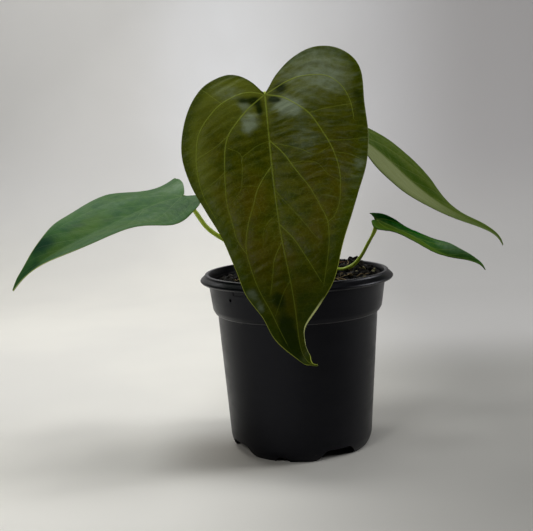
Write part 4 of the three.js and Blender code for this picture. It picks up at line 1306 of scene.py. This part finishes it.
def fibres():
    pieces = []
    for _ in range(FIBRE_COUNT):
        away, angle = FIBRE_REACH * math.sqrt(random.uniform(0.05, 1)), random.uniform(0, 2 * math.pi)
        heading, length = random.uniform(0, 6.3), random.uniform(*FIBRE_LENGTHS)
        line = root_line(away * math.cos(angle), away * math.sin(angle), heading, length)
        line = line[np.hypot(line[:, 0], line[:, 1]) < FIBRE_END]
        if len(line) < 6:
            continue
        taper = FIBRE_RADIUS * (0.4 + 0.6 * np.sin(np.pi * np.linspace(0.08, 0.92, len(line))))
        pieces.append(rod(line, taper, sides=8))
    return joined(pieces)


def root_finish():
    finish = Finish("roots")
    grain = finish.grain(finish.place(), 1.5, 3, 0.6)
    colour = finish.mix(tint(96, 74, 44), tint(160, 138, 88), grain.fade(0.3, 0.7))
    return finish.paint(Base_Color=colour, Roughness=0.7, Normal=finish.bump(grain, 0.1, 0.6))


finish_piece(fibres(), "root_fibres", [root_finish()])

# %% [markdown]
# ## The crown
#
# The stalks rise from a short thick stem. It is ringed with the scars of older leaves and
# carries blunt young roots that dive into the mix. The stem is turned like the pot, from a
# profile with a ridge for each scar; the roots are short rods, thick at the stem.

# %% Crown and its roots
CROWN_CORNERS = [(0, 79.5, 0), (5.4, 80, 1), (6.2, 88, 1), (6.6, 96, 1), (6.1, 99.6, 0.4),
                 (6.7, 100.8, 0.5), (6.0, 101.6, 0.4), (6.3, 103, 0.5), (5.5, 103.9, 0.4),
                 (5.4, 105.4, 0.6), (3.5, 107.2, 0.8), (0, 107.6, 0)]
CROWN_ROOTS = [(205, 13, 99.5), (265, 12, 100.5), (330, 14, 99.5), (20, 12.5, 101), (80, 14, 100.5),
               (140, 13, 100)]


def crown():
    piece = turned(rounded(CROWN_CORNERS, 4), 48)
    points = get_points(piece) / MM
    angle = np.arctan2(points[:, 1], points[:, 0])
    swell = 1 + 0.05 * np.sin(3 * angle + 0.4 * points[:, 2]) + 0.025 * np.sin(7 * angle - points[:, 2])
    points[:, :2] *= swell[:, None]
    points[:, :2] += CROWN_AT
    set_points(piece, points * MM)
    bpy.ops.object.shade_smooth()
    return piece


def crown_root(spin, reach, top):
    """A blunt root that leaves the crown and bends down into the mix."""
    out = Vector((math.cos(math.radians(spin)), math.sin(math.radians(spin)), 0))
    steps = [(4.5, top + 1.6), (7.5, top + 1.8), (0.82 * reach, top + 0.2), (reach, top - 3.5)]
    line = smooth_line([(CROWN_AT[0] + out.x * r, CROWN_AT[1] + out.y * r, z) for r, z in steps], 4)
    return rod(line, np.linspace(1.45, 1.0, len(line)), sides=14)


def crown_finish(name, skin, scar):
    finish = Finish(name)
    at = finish.place()
    rings = finish.grain(finish.stretch(at, (0.4, 0.4, 2.4)), 2.2, 3, 0.6)
    specks = finish.grain(at, 0.8, 3, 0.7)
    dirt = specks.fade(0.56, 0.78) * 0.6
    colour = finish.layered(skin, (scar, rings.fade(0.42, 0.66)), (tint(60, 44, 26), dirt))
    return finish.paint(Base_Color=colour, Roughness=0.5 + specks * 0.2,
                        Normal=finish.bump(rings + specks, 0.25, 0.7))


crown_skin = crown_finish("crown_skin", tint(108, 116, 48), tint(128, 98, 58))
finish_piece(crown(), "crown_stem", [crown_skin], ["crown"])
root_skin = crown_finish("root_skin", tint(150, 138, 84), tint(120, 100, 60))
finish_piece(joined([crown_root(*root) for root in CROWN_ROOTS]), "crown_roots", [root_skin])

# %% [markdown]
# ## Dry sheaths
#
# Each new leaf comes out of a scale leaf that dries to brown paper and stays. Like a blade it
# is a thin sheet, so the same grid serves, only narrow and rolled round the stalk. Its tip is
# torn, and its veins run straight up, which the finish draws as fine streaks.

# %% Sheaths
SHEATH_OUTLINE = [(-0.02, 0.55), (0.15, 0.85), (0.35, 1), (0.55, 0.85), (0.75, 0.55), (0.9, 0.28), (1, 0.1)]
SHEATHS = {
    "front": dict(junction=(0.6, -4.6, 102.4), length=24, half_width=3.6, heading=-80, slope=(62, 78)),
    "back": dict(junction=(4.5, 12.6, 102.4), length=30, half_width=4, heading=75, slope=(58, 80)),
    "right": dict(junction=(13, -1.6, 102.6), length=19, half_width=3, heading=-28, slope=(28, 12)),
}
SHEATH_GRID, SHEATH_LIFT, SHEATH_ROLL = (56, 28), 22, 0.05
SHEATH_THICKNESS = 0.32


def sheath(name, junction, length, half_width, heading, slope):
    low, high = slope
    outline = [(u * length, v * half_width) for u, v in SHEATH_OUTLINE]
    lift = [SHEATH_LIFT] * len(STATIONS)
    blade = dict(junction=junction, length=length, faces=(0, 0, 1), heading=[heading] * len(STATIONS),
                 slope=[low + (high - low) * max(0, w) for w in STATIONS],
                 lift_right=lift, lift_left=lift, bend_right=SHEATH_ROLL, bend_left=SHEATH_ROLL)
    piece = new_grid(*SHEATH_GRID)
    flat = get_points(piece)
    s, t = (flat[:, 0] + 1) / 2, -flat[:, 1]
    edge = margin(outline, s)
    torn = 1 - 0.09 * s * (0.5 + 0.5 * np.sin(9 * t + len(name))) - 0.05 * s * np.sin(23 * t)
    u = length * s * torn + (edge[:, 0] - length * s) * np.abs(t)
    v = edge[:, 1] * t
    points = on_blade(blade, u, v)
    points += 0.22 * np.stack([np.sin(0.9 * u + 3 * t), np.cos(1.1 * u - 2 * t), 0 * u], -1) * s[:, None]
    set_points(piece, points * MM)
    give_attribute(piece, "flat", np.stack([u, v, (1 - np.abs(t)) * edge[:, 1]], -1))
    apply_modifier(piece, "SOLIDIFY", thickness=SHEATH_THICKNESS * MM, offset=0)
    bpy.ops.object.shade_smooth()
    return piece


def sheath_finish():
    finish = Finish("dry_sheath")
    flat = finish.attribute("flat")
    streaks = finish.grain(finish.stretch(flat, (0.14, 2.2, 0)), 0.9, 3, 0.6)
    stains = finish.grain(flat, 5, 3, 0.6)
    colour = finish.layered(
        tint(96, 54, 28),
        (tint(168, 118, 72), streaks.fade(0.35, 0.7)),
        (tint(70, 40, 24), stains.fade(0.5, 0.75) * 0.7))
    return finish.paint(Base_Color=colour, Roughness=0.62 + stains * 0.2,
                        Normal=finish.bump(streaks, 0.12, 0.9), Specular_IOR_Level=0.35)


papery = sheath_finish()
for name, facts in SHEATHS.items():
    finish_piece(sheath(name, **facts), f"scale_leaf_{name}", [papery], [f"sheath_{name}"])

# %% [markdown]
# ## Backdrop and light
#
# The plant stands on pale board that curves up behind it. A single bent sheet does for both
# floor and wall. Its colour carries a part of the picture's light as painted shade: it darkens
# to the right, and its wall towards the far left, and a soft painted shadow at the pot's left
# deepens the shadow there.

# %% Backdrop
BACKDROP_PROFILE = [(-1.8, 0), (0.42, 0), (0.54, 0.012), (0.66, 0.06), (0.76, 0.2), (0.8, 0.4), (0.82, 1.5)]
BACKDROP_HALF_WIDTH = 3


def board_sheet():
    line = smooth_line(BACKDROP_PROFILE, 10)
    piece = new_grid(len(line) - 1, 8)
    points = get_points(piece)
    row = np.rint((points[:, 0] + 1) / 2 * (len(line) - 1)).astype(int)
    across = points[:, 1] * -BACKDROP_HALF_WIDTH
    set_points(piece, np.stack([across, line[row, 0], np.maximum(line[row, 1], 0)], -1))
    bpy.ops.object.shade_smooth()
    return piece


def board_finish():
    finish = Finish("pale_board")
    at = finish.place()
    rightward, depth, height = finish.split(at)
    clouds = finish.grain(at, 260, 3, 0.5)
    tooth = finish.grain(at, 1.5, 2, 0.6)
    wall = height.fade(5, 200)
    # Painted shade: the wall is drawn darker towards the far left.
    board = finish.layered(
        tint(240, 238, 230),
        (tint(238, 239, 242), wall),
        (tint(214, 211, 204), rightward.fade(-70, -280) * wall * 0.6),
        (tint(212, 211, 208), clouds.fade(0.3, 0.7) * 0.4))
    # Painted shade: the board is drawn darker to the right, a little less far back and on the wall.
    shaded = finish.layered(
        tint(156, 155, 151),
        (tint(188, 187, 185), depth.fade(120, 300)),
        (tint(174, 172, 172), wall))
    dimmed = rightward.fade(-90, 150) * (1 - wall) + rightward.fade(-100, 300) * wall
    # Painted shadow: a soft dark patch on the floor at the pot's left.
    painted_shadow = abs(rightward + 38).fade(60, 6) * abs(depth + 24).fade(52, 4) * (1 - wall)
    colour = finish.layered(board, (shaded, dimmed), (tint(124, 113, 98), painted_shadow * 0.5))
    return finish.paint(Base_Color=colour, Roughness=0.75, Normal=finish.bump(tooth, 0.1, 0.3),
                        Specular_IOR_Level=0.2)


piece = board_sheet()
piece.data.materials.append(board_finish())
piece.name = "backdrop"
print("the backdrop is", 2 * BACKDROP_HALF_WIDTH, "m wide")

# %% [markdown]
# Sun lamps would draw hard edges, and the picture's shadows are soft, so all the light comes
# from square area lights. Most hang above or at the left, and one low at the right lifts that
# side of the plant. The last faces away from the plant and only keeps the wall pale. The world
# is a plain grey, seen where the board ends, and lights nothing.

# %% Lights
LIGHTS = {
    "front_left": dict(at=(-0.5, -0.8, 0.75), size=0.26, watts=3.1),
    "upper_left": dict(at=(-0.23, 0, 0.81), size=0.26, watts=0.95),
    "left_back": dict(at=(-0.39, 0.39, 0.6), size=0.26, watts=1.1),
    "back": dict(at=(-0.12, 0.45, 0.69), size=0.26, watts=0.42),
    "overhead": dict(at=(0, 0.05, 1.3), size=0.3, watts=1.6),
    "overhead_right": dict(at=(0.2, 0.05, 1.3), size=0.2, watts=0.65),
    "upper_right": dict(at=(0.33, -0.19, 1.29), size=0.26, watts=1.5),
    "low_right": dict(at=(0.9, 0.08, 0.38), size=0.26, watts=4.6),
    "wall_wash": dict(at=(-0.3, 0.3, 0.98), size=0.5, watts=2.0, aim=(-0.34, 1, 0.72)),
}
WORLD_GREY = (196, 196, 194)


def area_light(name, at, size, watts, aim=(0, 0, 0.1)):
    data = bpy.data.lights.new(name, "AREA")
    data.shape = "SQUARE"
    data.size = size
    data.energy = watts
    lamp = bpy.data.objects.new(name, data)
    bpy.context.scene.collection.objects.link(lamp)
    lamp.location = at
    lamp.visible_camera = False
    lamp.rotation_mode = "QUATERNION"
    lamp.rotation_quaternion = (Vector(aim) - Vector(at)).to_track_quat("-Z", "Y")


for name, facts in LIGHTS.items():
    area_light(name, **facts)
world = bpy.data.worlds.new("studio")
world.use_nodes = True
world.node_tree.nodes["Background"].inputs["Color"].default_value = (*tint(*WORLD_GREY), 1)
world.node_tree.nodes["Background"].inputs["Strength"].default_value = 1
world.cycles_visibility.diffuse = False
world.cycles_visibility.glossy = False
bpy.context.scene.world = world
bpy.context.scene.view_settings.view_transform = "Standard"
print("lights:", list(LIGHTS))
